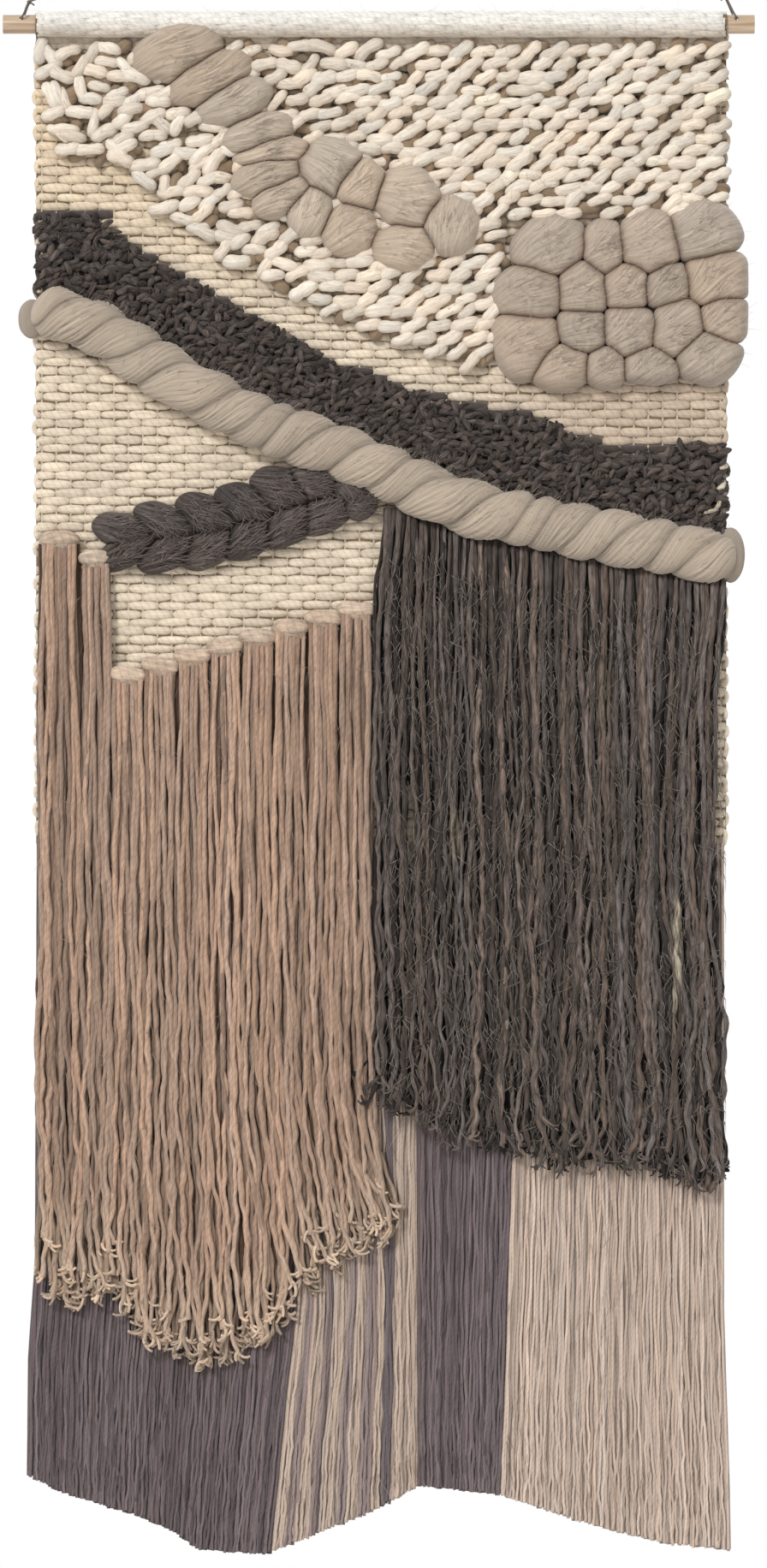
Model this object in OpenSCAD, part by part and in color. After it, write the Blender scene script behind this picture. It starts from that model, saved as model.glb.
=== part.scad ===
// Tapestry wall hanging: a woven cloth with loop pile, roving puffs and long fringes, slung from a
// wooden dowel on a cord. X runs along the dowel, the cloth faces -Y, the wall is on +Y and Z is up.
// The origin is the point of the cord that goes over the nail.

/* [Hanger] */
// Height of the nail above the dowel's axis
hang_rise = 132; // [120:1:140]
// Diameter of the hanging cord
cord_d = 2; // [1.5:0.1:2.4]
// Diameter of the knots that close the cord's end loops
knot_d = 5.2; // [4:0.1:6]

/* [Dowel] */
// Diameter of the dowel
dowel_d = 19; // [18:0.5:21]
// Length of the dowel
dowel_len = 760; // [750:1:800]
// Diameter of the holes that the cord goes through
hole_d = 4; // [3.5:0.1:4.4]

/* [Cloth] */
// Width of the woven cloth
cloth_w = 702; // [698:1:704]
// Height of the cloth from the dowel's axis to its lower edge
cloth_drop = 830; // [815:1:900]
// Thickness of the plain weave
cloth_t = 6; // [5:0.5:6]
// Wall thickness of the sleeve that holds the dowel
sleeve_t = 4; // [3.5:0.1:4.4]

/* [Pile and roving] */
// How far the loop pile stands off the plain weave
pile_t = 12; // [8:0.5:14]
// How far the charcoal pile stands off the plain weave
band_t = 9; // [6:0.5:10]
// Radius of the twisted roving
roving_r = 28; // [26:0.5:28]

/* [Brown fringe] */
// Width of one brown tassel, with its gap
brown_pitch = 33; // [32.6:0.1:33]
// Thickness of the brown curtain
brown_t = 14; // [10:0.5:14]

/* [Charcoal fringe] */
// Number of charcoal tassels
charcoal_count = 11; // [8:1:14]
// Thickness of the charcoal curtain
charcoal_t = 18; // [12:0.5:18]

/* [Base fringe] */
// Thickness of the fringe on the cloth's lower edge
base_t = 6; // [5:0.5:6]

/* [Hidden] */
brown_count = 10;

$fn = 64;
gap = 0.3; // between bodies
running = 0.05; // radial clearance of the dowel in its sleeve
hole_up = 5.5; // the cord's holes lie this far above the dowel's axis
hole_x = [-361, 361.5];
sleeve_x = [-352, 351];
seam_drop = 20; // the sleeve's seam lies this far below the dowel's axis
cloth_x = [-cloth_w / 2 + 2.5, cloth_w / 2 + 2.5];
wall_y = 14; // the plane of the wall
front_y = wall_y - cloth_t; // the front of the plain weave
pile_y = front_y - pile_t; // the front of the loop pile

cream = [0.93, 0.89, 0.8];
roving_beige = [0.74, 0.67, 0.59];
charcoal = [0.3, 0.27, 0.26];
braid_grey = [0.33, 0.31, 0.31];
tan_brown = [0.64, 0.53, 0.45];
dark_mauve = [0.4, 0.36, 0.37];
striped_mauve = [0.62, 0.55, 0.52];
base_beige = [0.72, 0.65, 0.58];

// ---- The cord's route, from the middle of the left hole to the middle of the right one ----
cord_route = [
    [-361, 0, 5.5], [-361, -6, 5.5], [-360.5, -9.8, 6.3], [-359.2, -11.8, 8.6], [-357.6, -11.2, 12],
    [-356, -7.4, 17.4], [-353.5, -2.6, 22.2], [-346, 0, 25.6], [-300, 0, 39.6], [-240, 0, 58.2],
    [-180, 0, 76.8], [-120, 0, 95.4], [-60, 0, 114], [-22, 0, 125.8], [-9, 0, 129.6], [-3, 0, 131.6],
    [3, 0, 131.6], [9, 0, 129.6], [22, 0, 125.9], [60, 0, 114.9], [120, 0, 97.5], [180, 0, 80.1],
    [240, 0, 62.7], [300, 0, 45.3], [341, 0, 33.4], [349.5, -2.4, 29], [354.4, -7, 20],
    [357.8, -11, 12.4], [359.8, -11.8, 8.6], [361.1, -9.8, 6.3], [361.5, -6, 5.5], [361.5, 0, 5.5]];
// The rear half of each end loop, from the knot down to the middle of the hole
left_loop = [
    [-353.5, 1.6, 22], [-356, 6.6, 17.4], [-358, 10.2, 12.4], [-359.6, 11.4, 8.8],
    [-360.6, 9.8, 6.4], [-361, 6, 5.5], [-361, 0.2, 5.5]];
right_loop = [
    [349.5, 1.6, 29], [353.4, 5.4, 21.6], [357, 9.6, 14], [359.5, 11.4, 8.8],
    [361.1, 9.8, 6.4], [361.5, 6, 5.5], [361.5, 0.2, 5.5]];
left_knot = [-353.5, -0.6, 22.6];
right_knot = [349.5, -0.6, 29.4];
left_tail = [[-352.4, -2, 21.8], [-350.4, -3.4, 20.6], [-348.4, -4, 18.8]];
right_tail = [[348.4, -2, 28.4], [347, -3.4, 26.4], [346.4, -4, 23.6]];

// ---- Outlines and routes of the woven features, as [x, z] from the middle of the dowel ----
pile_outline = [
    [-349, -14], [356, -14], [358, -192], [124, -192], [118, -354], [-37, -296], [-167, -226],
    [-275, -140], [-346, -128]];
band_outline = [
    [-347, -190], [-276, -190], [-254, -215], [-218, -240], [-150, -277], [-77, -316], [-37, -341],
    [5, -357], [74, -380], [111, -387], [175, -397], [222, -422], [239, -430], [297, -422],
    [347, -422], [347, -530], [-60, -430], [-347, -300]];
roving_route = [
    [-334, -290], [-285, -308], [-230, -343], [-170, -380], [-110, -408], [-45, -431], [20, -460],
    [85, -487], [150, -503], [215, -515], [280, -528], [341, -537]];
braid_route = [[-270, -524], [-214, -520], [-158, -510], [-100, -500], [-45, -491], [-6, -492]];
braid_r = [17, 27, 27, 27, 17, 6];

// The lobes run down from the sleeve as one thick roving
lobe_route = [[-205, -40], [-171, -62], [-148, -86], [-124, -118], [-118, -160]];
lobe_r = [22, 24, 24, 22, 20];
// Middle, plan radius of each roving dome; dome_proud is how far it stands off the pile
puffs = [[-49, -144, 26], [-20, -168, 20], [-70, -192, 22], [-35, -212, 24], [31, -176, 22],
    [30, -226, 22], [73, -204, 25]];
// The puff patch's rows: top edge, bottom edge, dome radius and the domes' middles along X
puff_rows = [
    [-192, -249, 25, [173, 224, 274, 329]],
    [-249, -296, 22, [151, 205, 250, 294, 338]],
    [-296, -338, 20, [149, 205, 254, 302, 346]],
    [-338, -372, 16, [183, 230, 274, 326]]];
dome_proud = 18;

// ---- Fringe edges ----
brown_first_x = -254; // the middle of the first tassel of the stepped row
brown_first_z = -659;
weft_rise = 9.5; // each knot of the stepped row sits one weft higher than the last
knot_r = 8.5;
brown_tips = [[-345, -1262], [-318, -1300], [-262, -1276], [-240, -1326], [-175, -1356],
    [-108, -1326], [-75, -1262], [0, -1226], [24, -1200]];
brown_side = [[4.5, -1092], [24, -1200]]; // the curtain's right edge spreads below the charcoal one
charcoal_x = [5.5, 338];
charcoal_knot_r = 4;
charcoal_tips = [[5, -1084], [45, -1112], [110, -1132], [200, -1156], [260, -1152], [338, -1174]];
seam_dark = [[-82, -cloth_drop], [-84, -1300], [-110, -1548]]; // from the dark fringe to the striped
seam_middle = [[38, -cloth_drop], [40, -1479]];
seam_beige = [[136, -cloth_drop], [136, -1110], [123, -1488]];

function flip(list) = [for (i = [len(list) - 1:-1:0]) list[i]];
function roving_mid(x) = lookup(x, roving_route);
charcoal_pitch = (charcoal_x[1] - charcoal_x[0]) / charcoal_count;
tassel_y = front_y - gap - 1.5 - brown_t / 2;
charcoal_y = front_y - gap - 1.5 - charcoal_t / 2;

// Left edge, right edge and knot height of each brown tassel
function brown_place(i) =
    i == 1 ? [-345, -301.3, -522]
    : i == 2 ? [-301, -brown_pitch / 2 + brown_first_x - gap, -556]
    : let (k = i - 3, mid = brown_first_x + k * brown_pitch)
        [mid - brown_pitch / 2, mid + brown_pitch / 2 - gap, brown_first_z + k * weft_rise];
function brown_pivot(i) = brown_place(i)[2] - knot_r - brown_t / 2 - gap;
function charcoal_left(i) = charcoal_x[0] + (i - 1) * charcoal_pitch;
function charcoal_knot_z(i) = roving_mid(charcoal_left(i) + charcoal_pitch) - roving_r - 7;
function charcoal_pivot(i) = charcoal_knot_z(i) - charcoal_knot_r - charcoal_t / 2 - gap;

// ---- Swept tube: one ring of sides corners at each point of the route ----
function along(p, i) =
    let (d = p[min(i + 1, len(p) - 1)] - p[max(i - 1, 0)]) d / norm(d);
function ring(p, i, r, sides) =
    let (t = along(p, i), across = cross([0.3, 0.9, -0.3], t), u = across / norm(across), v = cross(t, u))
    [for (k = [0:sides - 1]) p[i] + r * (cos(360 * k / sides) * u + sin(360 * k / sides) * v)];
module tube(p, r, sides = 8) {
    n = len(p);
    polyhedron(
        points = [for (i = [0:n - 1]) each ring(p, i, r, sides)],
        faces = concat(
            [[for (k = [0:sides - 1]) k]],
            [for (i = [0:n - 2], k = [0:sides - 1])
                let (a = i * sides + k, b = i * sides + (k + 1) % sides) [a, a + sides, b + sides, b]],
            [[for (k = [sides - 1:-1:0]) (n - 1) * sides + k]]));
}

// Places a shape drawn about the middle of the dowel in the part's frame
module hung() {
    translate([0, 0, -hang_rise]) children();
}

// A flat layer with its front at front and its back at back, cut to an [x, z] outline
module layer(front, back) {
    translate([0, back, 0]) rotate([90, 0, 0]) linear_extrude(back - front) children();
}

// A round dome of plan radius r that stands proud of the plane at y = base
module dome(x, z, r, base, proud) {
    ball = (r * r + proud * proud) / (2 * proud);
    intersection() {
        translate([x, base - proud + ball, z]) sphere(r = ball);
        translate([x - r, base - proud, z - r]) cube([2 * r, proud, 2 * r]);
    }
}

// A roll of radius r along X
module roll(left, right, y, z, r) {
    translate([left, y, z]) rotate([0, 90, 0]) cylinder(r = r, h = right - left);
}

// A tassel that turns about its round head, cut off along its tips
module tassel(left, right, y, pivot, t, tips, side = []) {
    roll(left, right, y, pivot, t / 2);
    inner_tips = [for (p = tips) if (p[0] > left && p[0] < right) p];
    layer(y - t / 2, y + t / 2)
        polygon(concat([[right, pivot], [left, pivot], [left, lookup(left, tips)]], inner_tips,
            len(side) > 0 ? flip(side) : [[right, lookup(right, tips)]]));
}

module dowel() {
    color("burlywood") hung() difference() {
        translate([-dowel_len / 2, 0, 0]) rotate([0, 90, 0]) cylinder(d = dowel_d, h = dowel_len);
        for (x = hole_x)
            translate([x, dowel_d, hole_up]) rotate([90, 0, 0]) cylinder(d = hole_d, h = 2 * dowel_d);
    }
}

module hanger_cord() {
    color("dimgray") hung() tube(cord_route, cord_d / 2);
}

module hitch(knot, loop, tail) {
    color("dimgray") hung() {
        translate(knot) sphere(d = knot_d, $fn = 24);
        tube(loop, cord_d / 2);
        tube(tail, cord_d / 2 * 0.9);
    }
}
module hanger_hitch_left() { hitch(left_knot, left_loop, left_tail); }
module hanger_hitch_right() { hitch(right_knot, right_loop, right_tail); }

// The hem that wraps the dowel, with its seam allowance flat against the wall
module top_sleeve() {
    color(cream) hung() difference() {
        union() {
            roll(sleeve_x[0], sleeve_x[1], 0, 0, dowel_d / 2 + sleeve_t);
            translate([sleeve_x[0], front_y, -seam_drop])
                cube([sleeve_x[1] - sleeve_x[0], cloth_t, seam_drop]);
        }
        roll(sleeve_x[0] - 1, sleeve_x[1] + 1, 0, 0, dowel_d / 2 + running);
    }
}

module ground_cloth() {
    color(cream) hung() layer(front_y, wall_y)
        translate([cloth_x[0], -cloth_drop]) square([cloth_w, cloth_drop - seam_drop]);
}

module loop_pile() {
    color(cream * 1.04) hung() layer(pile_y, front_y) polygon(pile_outline);
}

module roving_lobes() {
    color(roving_beige) hung() rope(lobe_route, lobe_r, -0.2, pile_y);
}

module roving_puffs() {
    color(roving_beige) hung() for (p = puffs) dome(p[0], p[1], p[2], pile_y, dome_proud);
}

module puff_row(i) {
    row = puff_rows[i - 1];
    color(roving_beige * (1 - 0.03 * (i % 2))) hung() {
        layer(pile_y, front_y) translate([124.5, row[1]]) square([361 - 124.5, row[0] - row[1]]);
        for (x = row[3]) dome(x, (row[0] + row[1]) / 2, row[2], pile_y, dome_proud);
    }
}

// The roving's plan, widened by grow
module roving_plan(grow) {
    for (i = [0:len(roving_route) - 2])
        hull() for (k = [0, 1]) translate(roving_route[i + k]) circle(r = roving_r + grow, $fn = 32);
}

module charcoal_band() {
    color(charcoal) hung() layer(front_y - band_t, front_y) difference() {
        polygon(band_outline);
        roving_plan(0.6);
        translate([-400, -600]) square([54, 600]);
        below_roving = [for (p = roving_route) [p[0], p[1] - roving_r / 2]];
        polygon(concat([[-400, -290], [-400, -600], [400, -600], [400, -540]], flip(below_roving)));
    }
}

// A rope of overlapping balls drawn along a route and cut flat where it lies on the cloth
module rope(route, radii, lift, base) {
    intersection() {
        for (i = [0:len(route) - 2])
            hull() for (k = [i, i + 1])
                translate([route[k][0], base - lift * radii[k], route[k][1]])
                    sphere(r = radii[k], $fn = 24);
        translate([-450, base - 200, -900]) cube([900, 200, 900]);
    }
}

module twisted_roving() {
    color(roving_beige) hung() rope(roving_route, [for (p = roving_route) roving_r], 0.6, front_y);
}

module grey_braid() {
    color(braid_grey) hung() rope(braid_route, braid_r, 0.3, front_y);
}

module brown_knots() {
    color(tan_brown * 1.1) hung() for (i = [1:brown_count]) {
        place = brown_place(i);
        roll(place[0] + 0.5, place[1] - 0.5, front_y - knot_r, place[2], knot_r);
    }
}

module brown_tassel(i) {
    place = brown_place(i);
    last = i == brown_count;
    color(tan_brown * (1 - 0.04 * (i % 2))) hung()
        tassel(place[0], last ? brown_side[0][0] : place[1], tassel_y, brown_pivot(i), brown_t,
            brown_tips, last ? brown_side : []);
}

module charcoal_knots() {
    color(charcoal) hung() for (i = [1:charcoal_count])
        roll(charcoal_left(i) + 0.5, charcoal_left(i) + charcoal_pitch - 0.5,
            front_y - charcoal_knot_r, charcoal_knot_z(i), charcoal_knot_r);
}

module charcoal_tassel(i) {
    left = charcoal_left(i);
    color(charcoal * (1 + 0.06 * (i % 2))) hung()
        tassel(left, left + charcoal_pitch - gap, charcoal_y, charcoal_pivot(i), charcoal_t,
            charcoal_tips);
}

// One stretch of the fringe on the cloth's lower edge
module base_fringe(outline) {
    hung() layer(wall_y - base_t, wall_y) polygon(outline);
}

module base_fringe_dark_left() {
    color(dark_mauve) base_fringe(concat(
        [[-346, -cloth_drop], [-348, -1250], [-355, -1350], [-356, -1468], [-320, -1486],
         [-240, -1511], [-206, -1525], [-179, -1544]],
        flip(seam_dark)));
}

module base_fringe_striped() {
    color(striped_mauve) base_fringe(concat(
        seam_dark, [[-85, -1538], [-38, -1518], [3, -1500]], flip(seam_middle)));
}

module base_fringe_dark_middle() {
    color(dark_mauve * 1.05) base_fringe(concat(seam_middle, flip(seam_beige)));
}

module base_fringe_beige() {
    color(base_beige) base_fringe(concat(
        seam_beige, [[200, -1514], [250, -1528], [287, -1537], [356, -1544], [355, -1485],
        [349, -1300], [349, -cloth_drop]]));
}

dowel();
hanger_cord();
hanger_hitch_left();
hanger_hitch_right();
top_sleeve();
ground_cloth();
loop_pile();
roving_lobes();
roving_puffs();
for (i = [1:4])
    puff_row(i);
charcoal_band();
twisted_roving();
grey_braid();
brown_knots();
for (i = [1:brown_count])
    brown_tassel(i);
charcoal_knots();
for (i = [1:charcoal_count])
    charcoal_tassel(i);
base_fringe_dark_left();
base_fringe_striped();
base_fringe_dark_middle();
base_fringe_beige();
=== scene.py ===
"""Tapestry wall hanging: woven cloth, loop pile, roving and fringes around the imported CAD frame.

Pieces are built in millimetres about the middle of the dowel, with the front towards -Y. Shape.piece()
and cloth_core() bring them into the row frame in metres.
"""
import math

import bpy
import numpy as np
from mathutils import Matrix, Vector


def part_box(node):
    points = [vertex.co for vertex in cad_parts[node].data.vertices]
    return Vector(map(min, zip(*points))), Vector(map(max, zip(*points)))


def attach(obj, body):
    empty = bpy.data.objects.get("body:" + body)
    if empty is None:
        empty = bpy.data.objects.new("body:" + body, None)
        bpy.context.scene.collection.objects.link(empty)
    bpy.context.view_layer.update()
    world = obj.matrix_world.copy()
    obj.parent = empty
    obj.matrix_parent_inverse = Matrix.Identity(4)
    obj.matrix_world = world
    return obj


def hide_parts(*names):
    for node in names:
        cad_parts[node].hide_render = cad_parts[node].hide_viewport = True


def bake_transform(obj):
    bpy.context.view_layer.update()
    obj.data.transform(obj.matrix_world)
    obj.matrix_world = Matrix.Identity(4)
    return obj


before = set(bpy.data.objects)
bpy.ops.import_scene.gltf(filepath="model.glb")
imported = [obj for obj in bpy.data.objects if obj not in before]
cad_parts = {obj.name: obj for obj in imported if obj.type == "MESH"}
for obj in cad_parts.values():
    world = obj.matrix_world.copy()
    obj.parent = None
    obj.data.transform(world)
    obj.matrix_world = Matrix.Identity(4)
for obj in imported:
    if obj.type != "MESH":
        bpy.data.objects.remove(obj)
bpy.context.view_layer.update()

MM = 0.001
TURN = 2 * math.pi


def span(name):
    """Lowest and highest corner of a CAD node in millimetres about the middle of the dowel."""
    return [(np.array(corner) - DOWEL_MIDDLE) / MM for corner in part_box(name)]


dowel_low, dowel_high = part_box("dowel")
DOWEL_MIDDLE = np.array((dowel_low + dowel_high) / 2)
CLOTH_LOW, CLOTH_HIGH = span("ground_cloth")
LEFT, RIGHT = CLOTH_LOW[0], CLOTH_HIGH[0]
HEM_Z = CLOTH_LOW[2]
FRONT_Y, WALL_Y = CLOTH_LOW[1], CLOTH_HIGH[1]
PILE_Y = span("loop_pile")[0][1]

# ---------------------------------------------------------------- camera, light and floor


def add_object(name, data):
    """A new object, linked to the scene."""
    made = bpy.data.objects.new(name, data)
    bpy.context.scene.collection.objects.link(made)
    return made


def node(tree, kind, settings=None, **values):
    """A new shader node: settings are its own, and values go to its inputs (_ stands for a space)."""
    made = tree.nodes.new("ShaderNode" + kind)
    for key, value in (settings or {}).items():
        setattr(made, key, value)
    for key, value in values.items():
        made.inputs[key.replace("_", " ")].default_value = value
    return made


def plain_material(name, roughness):
    """A new material with its node tree and its shader."""
    material = bpy.data.materials.new(name)
    material.use_nodes = True
    shader = material.node_tree.nodes["Principled BSDF"]
    shader.inputs["Roughness"].default_value = roughness
    return material, material.node_tree, shader


VIEW_MIDDLE = (0.0048, -8.0, DOWEL_MIDDLE[2] - 0.7686)
VIEW_HEIGHT = 1.5865  # metres of the wall, from the frame's upper edge to its lower one


def make_camera():
    """Square-on, and far enough away for the hanging to fill the frame's height."""
    data = bpy.data.cameras.new("camera")
    data.sensor_width = 36
    data.lens = data.sensor_width * -VIEW_MIDDLE[1] / VIEW_HEIGHT
    data.clip_end = 60
    camera = add_object("camera", data)
    camera.location = VIEW_MIDDLE
    camera.rotation_euler = (math.radians(90), 0, 0)
    bpy.context.scene.camera = camera


def make_sun(name, direction, strength, spread):
    """A sun that shines along direction; spread is its angle in degrees."""
    data = bpy.data.lights.new(name, "SUN")
    data.energy = strength
    data.angle = math.radians(spread)
    sun = add_object(name, data)
    sun.rotation_euler = Vector(direction).to_track_quat("-Z", "Y").to_euler()


def make_world():
    """Soft white light from all round, with a clean white backdrop for the camera."""
    world = bpy.data.worlds.new("studio")
    world.use_nodes = True
    tree = world.node_tree
    tree.nodes.clear()
    mix = node(tree, "MixShader")
    ray = node(tree, "LightPath")
    light = node(tree, "Background", Color=(1.0, 0.985, 0.965, 1), Strength=0.62)
    backdrop = node(tree, "Background", Color=(1, 1, 1, 1), Strength=1.0)
    sources = (ray.outputs["Is Camera Ray"], light.outputs[0], backdrop.outputs[0])
    for source, socket in zip(sources, mix.inputs):
        tree.links.new(source, socket)
    tree.links.new(mix.outputs[0], node(tree, "OutputWorld").inputs["Surface"])
    bpy.context.scene.world = world


def make_floor():
    """A pale floor under the hanging, just out of the camera's sight."""
    mesh = bpy.data.meshes.new("floor")
    floor_z, near, far, half = -1.9, -3.0, 1.5, 3.0
    mesh.from_pydata(
        [(-half, near, floor_z), (half, near, floor_z), (half, far, floor_z), (-half, far, floor_z)],
        [], [(0, 1, 2, 3)])
    material, _, shader = plain_material("floor_pale", 0.9)
    shader.inputs["Base Color"].default_value = (0.82, 0.81, 0.79, 1)
    mesh.materials.append(material)
    add_object("floor", mesh)


bpy.context.scene.view_settings.view_transform = "Standard"
make_camera()
make_world()
make_sun("key", (0.55, 1.0, -0.75), 1.75, 14)
make_sun("rim", (-0.6, -1.0, -0.6), 0.9, 25)
make_floor()

# ---------------------------------------------------------------- colours and materials


def ink(red, green, blue):
    """A display colour, 0 to 255 a channel, as scene-linear values."""
    share = np.array([red, green, blue]) / 255
    return np.where(share <= 0.04045, share / 12.92, ((share + 0.055) / 1.055) ** 2.4)


CREAM = ink(240, 224, 201)
CREAM_WARM = ink(236, 213, 180)
CREAM_DULL = ink(214, 194, 172)
LOOP_WHITE = ink(243, 230, 213)
# Painted shade: the colour of the loops under the top ones.
LOOP_PAINTED_SHADE = ink(154, 132, 107)
SLEEVE_WHITE = ink(252, 249, 242)
# Painted shade for the lower front of the sleeve and its seam rows.
SLEEVE_PAINTED_SHADE = ink(224, 210, 193)
# Painted shade: the core sheet shows between the yarns, dark brown for the shade in the gaps.
CORE_GAP_SHADE = ink(134, 112, 86)
ROVING_BEIGE = ink(197, 180, 161)
LOBE_BEIGE = ink(203, 186, 167)
PUFF_BEIGE = ink(189, 172, 155)
CHARCOAL = ink(91, 81, 76)
BRAID_GREY = ink(96, 87, 83)
BROWN = ink(187, 157, 136)
# Painted shade for the back layer of the brown tassels.
BROWN_BACK_SHADE = ink(98, 72, 54)
KNOT_BROWN = ink(216, 192, 170)
TIP_BROWN = ink(222, 196, 172)
CHARCOAL_YARN = ink(100, 89, 83)
# Grey of the charcoal tassels' loose hairs, brightened further there as painted highlight.
HAIR_HIGHLIGHT_GREY = ink(176, 166, 155)
MAUVE = ink(115, 102, 104)
STRIPE_BEIGE = ink(202, 181, 165)
STRIPE_MAUVE = ink(154, 136, 133)
BASE_BEIGE = ink(204, 184, 169)
CORD_GREY = ink(122, 110, 100)
WOOD_DARK, WOOD_PALE = ink(168, 140, 112), ink(226, 205, 180)


def maths(tree, operation, first, second=None):
    """A maths node on one or two sockets, or on a socket and a number. Returns its output."""
    made = node(tree, "Math", {"operation": operation})
    for socket, value in zip(made.inputs, (first, second)):
        if isinstance(value, bpy.types.NodeSocket):
            tree.links.new(value, socket)
        elif value is not None:
            socket.default_value = value
    return made.outputs[0]


def stretched_noise(tree, place, stretch, **settings):
    """Noise that is stretched differently along each axis of the socket place."""
    scale = node(tree, "VectorMath", {"operation": "MULTIPLY"})
    scale.inputs[1].default_value = stretch
    tree.links.new(place, scale.inputs[0])
    noise = node(tree, "TexNoise", Scale=1.0, **settings)
    tree.links.new(scale.outputs[0], noise.inputs["Vector"])
    return noise.outputs["Fac"]


def add_bump(tree, shader, height, strength, distance):
    """Fine relief from the socket height, distance metres deep."""
    relief = node(tree, "Bump", Strength=strength, Distance=distance)
    tree.links.new(height, relief.inputs["Height"])
    tree.links.new(relief.outputs[0], shader.inputs["Normal"])


def wool(name, streak_scale, contrast, bump, ply_turns=0.0, fuzz=0.35):
    """Dyed yarn or roving: the piece's own colour with the light and shade painted into it, fine fibre
    streaks along the yarn, ply with painted shade in its grooves, and sheen.

    streak_scale stretches the fibre noise: per metre along the yarn, then across it.
    ply_turns is how often two plies turn round each other in a metre.
    """
    material, tree, shader = plain_material(name, 0.85)
    link = tree.links.new
    shader.inputs["Specular IOR Level"].default_value = 0.22
    shader.inputs["Sheen Weight"].default_value = fuzz
    shader.inputs["Sheen Roughness"].default_value = 0.55
    dye = node(tree, "Attribute", {"attribute_name": "dye"})
    yarn = node(tree, "Attribute", {"attribute_name": "yarn"})
    fibre = stretched_noise(tree, yarn.outputs["Vector"], (streak_scale[0], streak_scale[1], streak_scale[1]),
                            Detail=5.0, Roughness=0.65, Distortion=0.3)
    tone = node(tree, "MapRange", From_Min=0.3, From_Max=0.7, To_Min=1 - contrast,
                To_Max=1 + contrast * 0.45)
    link(fibre, tone.inputs["Value"])
    height, shade = fibre, tone.outputs["Result"]
    if ply_turns:
        split = node(tree, "SeparateXYZ")
        link(yarn.outputs["Vector"], split.inputs[0])
        phase = maths(tree, "MULTIPLY", split.outputs["X"], TURN * ply_turns)
        parts = [maths(tree, "MULTIPLY", maths(tree, wave, phase), split.outputs[side])
                 for wave, side in (("COSINE", "Y"), ("SINE", "Z"))]
        groove = maths(tree, "ABSOLUTE", maths(tree, "ADD", *parts))
        # Painted shade: the colour darkens in the groove between the plies.
        depth = node(tree, "MapRange", From_Min=0.0, From_Max=0.6, To_Min=0.84, To_Max=1.0)
        link(groove, depth.inputs["Value"])
        shade = maths(tree, "MULTIPLY", shade, depth.outputs["Result"])
        height = maths(tree, "ADD", height, depth.outputs["Result"])
    painted = node(tree, "VectorMath", {"operation": "SCALE"})
    link(dye.outputs["Color"], painted.inputs[0])
    link(shade, painted.inputs["Scale"])
    link(painted.outputs[0], shader.inputs["Base Color"])
    add_bump(tree, shader, height, bump, 0.0012)
    return material


def wood():
    """Pale turned wood with its grain along X."""
    material, tree, shader = plain_material("dowel_wood", 0.55)
    place = node(tree, "TexCoord")
    grain = stretched_noise(tree, place.outputs["Object"], (9, 260, 260),
                            Detail=6.0, Roughness=0.6, Distortion=0.6)
    ramp = node(tree, "ValToRGB")
    for end, position, colour in zip(ramp.color_ramp.elements, (0.32, 0.68), (WOOD_DARK, WOOD_PALE)):
        end.position = position
        end.color = (*colour, 1)
    tree.links.new(grain, ramp.inputs["Fac"])
    tree.links.new(ramp.outputs["Color"], shader.inputs["Base Color"])
    add_bump(tree, shader, grain, 0.25, 0.0006)
    return material


MATERIALS = {
    "cream_yarn": wool("cream_yarn", (60, 1.7), 0.26, ply_turns=70, bump=0.6),
    "loop_yarn": wool("loop_yarn", (90, 2.4), 0.3, bump=1.0),
    "beige_roving": wool("beige_roving", (28, 520), 0.34, fuzz=0.4, bump=0.9),
    "charcoal_yarn": wool("charcoal_yarn", (85, 1.5), 0.85, fuzz=0.1, bump=1.0),
    "grey_roving": wool("grey_roving", (40, 460), 0.8, fuzz=0.1, bump=1.0),
    "brown_yarn": wool("brown_yarn", (60, 2.2), 0.46, ply_turns=60, fuzz=0.2, bump=0.9),
    "mauve_yarn": wool("mauve_yarn", (45, 1.5), 0.4, ply_turns=80, fuzz=0.15, bump=0.7),
    "striped_yarn": wool("striped_yarn", (45, 1.5), 0.26, ply_turns=80, bump=0.5),
    "beige_yarn": wool("beige_yarn", (45, 1.5), 0.26, ply_turns=80, bump=0.5),
    "cord": wool("cord", (150, 1.2), 0.3, ply_turns=160, bump=0.6),
    "dowel_wood": wood(),
}

# ---------------------------------------------------------------- mesh building


def unit(vectors):
    """Vectors along the last axis, each brought to length 1."""
    return vectors / np.maximum(np.linalg.norm(vectors, axis=-1, keepdims=True), 1e-9)


DOWN = -math.pi / 2


def flat_way(angle):
    """Unit vectors in the plane of the cloth, at angles in radians from the horizontal."""
    return np.stack([np.cos(angle), 0 * angle, np.sin(angle)], 1)


def level_at(x, points):
    """The height of a line of (x, z) points at each x."""
    return np.interp(x, *zip(*points))


def distance_along(line):
    """How far each point of a line, or of each of some lines, is from the line's start."""
    steps = np.linalg.norm(np.diff(line, axis=-2), axis=-1)
    return np.concatenate([0 * steps[..., :1], np.cumsum(steps, axis=-1)], axis=-1)


def smooth_line(points, count):
    """count points evenly along a Catmull-Rom curve through a list of points."""
    p = np.asarray(points, float)
    p = np.vstack([2 * p[0] - p[1], p, 2 * p[-1] - p[-2]])
    parts = []
    for i in range(1, len(p) - 2):
        t = np.linspace(0, 1, 24, endpoint=False)[:, None]
        a, b, c, d = p[i - 1], p[i], p[i + 1], p[i + 2]
        parts.append(0.5 * (2 * b + (c - a) * t + (2 * a - 5 * b + 4 * c - d) * t ** 2
                            + (3 * b - a - 3 * c + d) * t ** 3))
    fine = np.vstack(parts + [p[-2:-1]])
    far = distance_along(fine)
    even = np.linspace(0, far[-1], count)
    return np.stack([np.interp(even, far, fine[:, k]) for k in range(p.shape[1])], 1)


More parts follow.
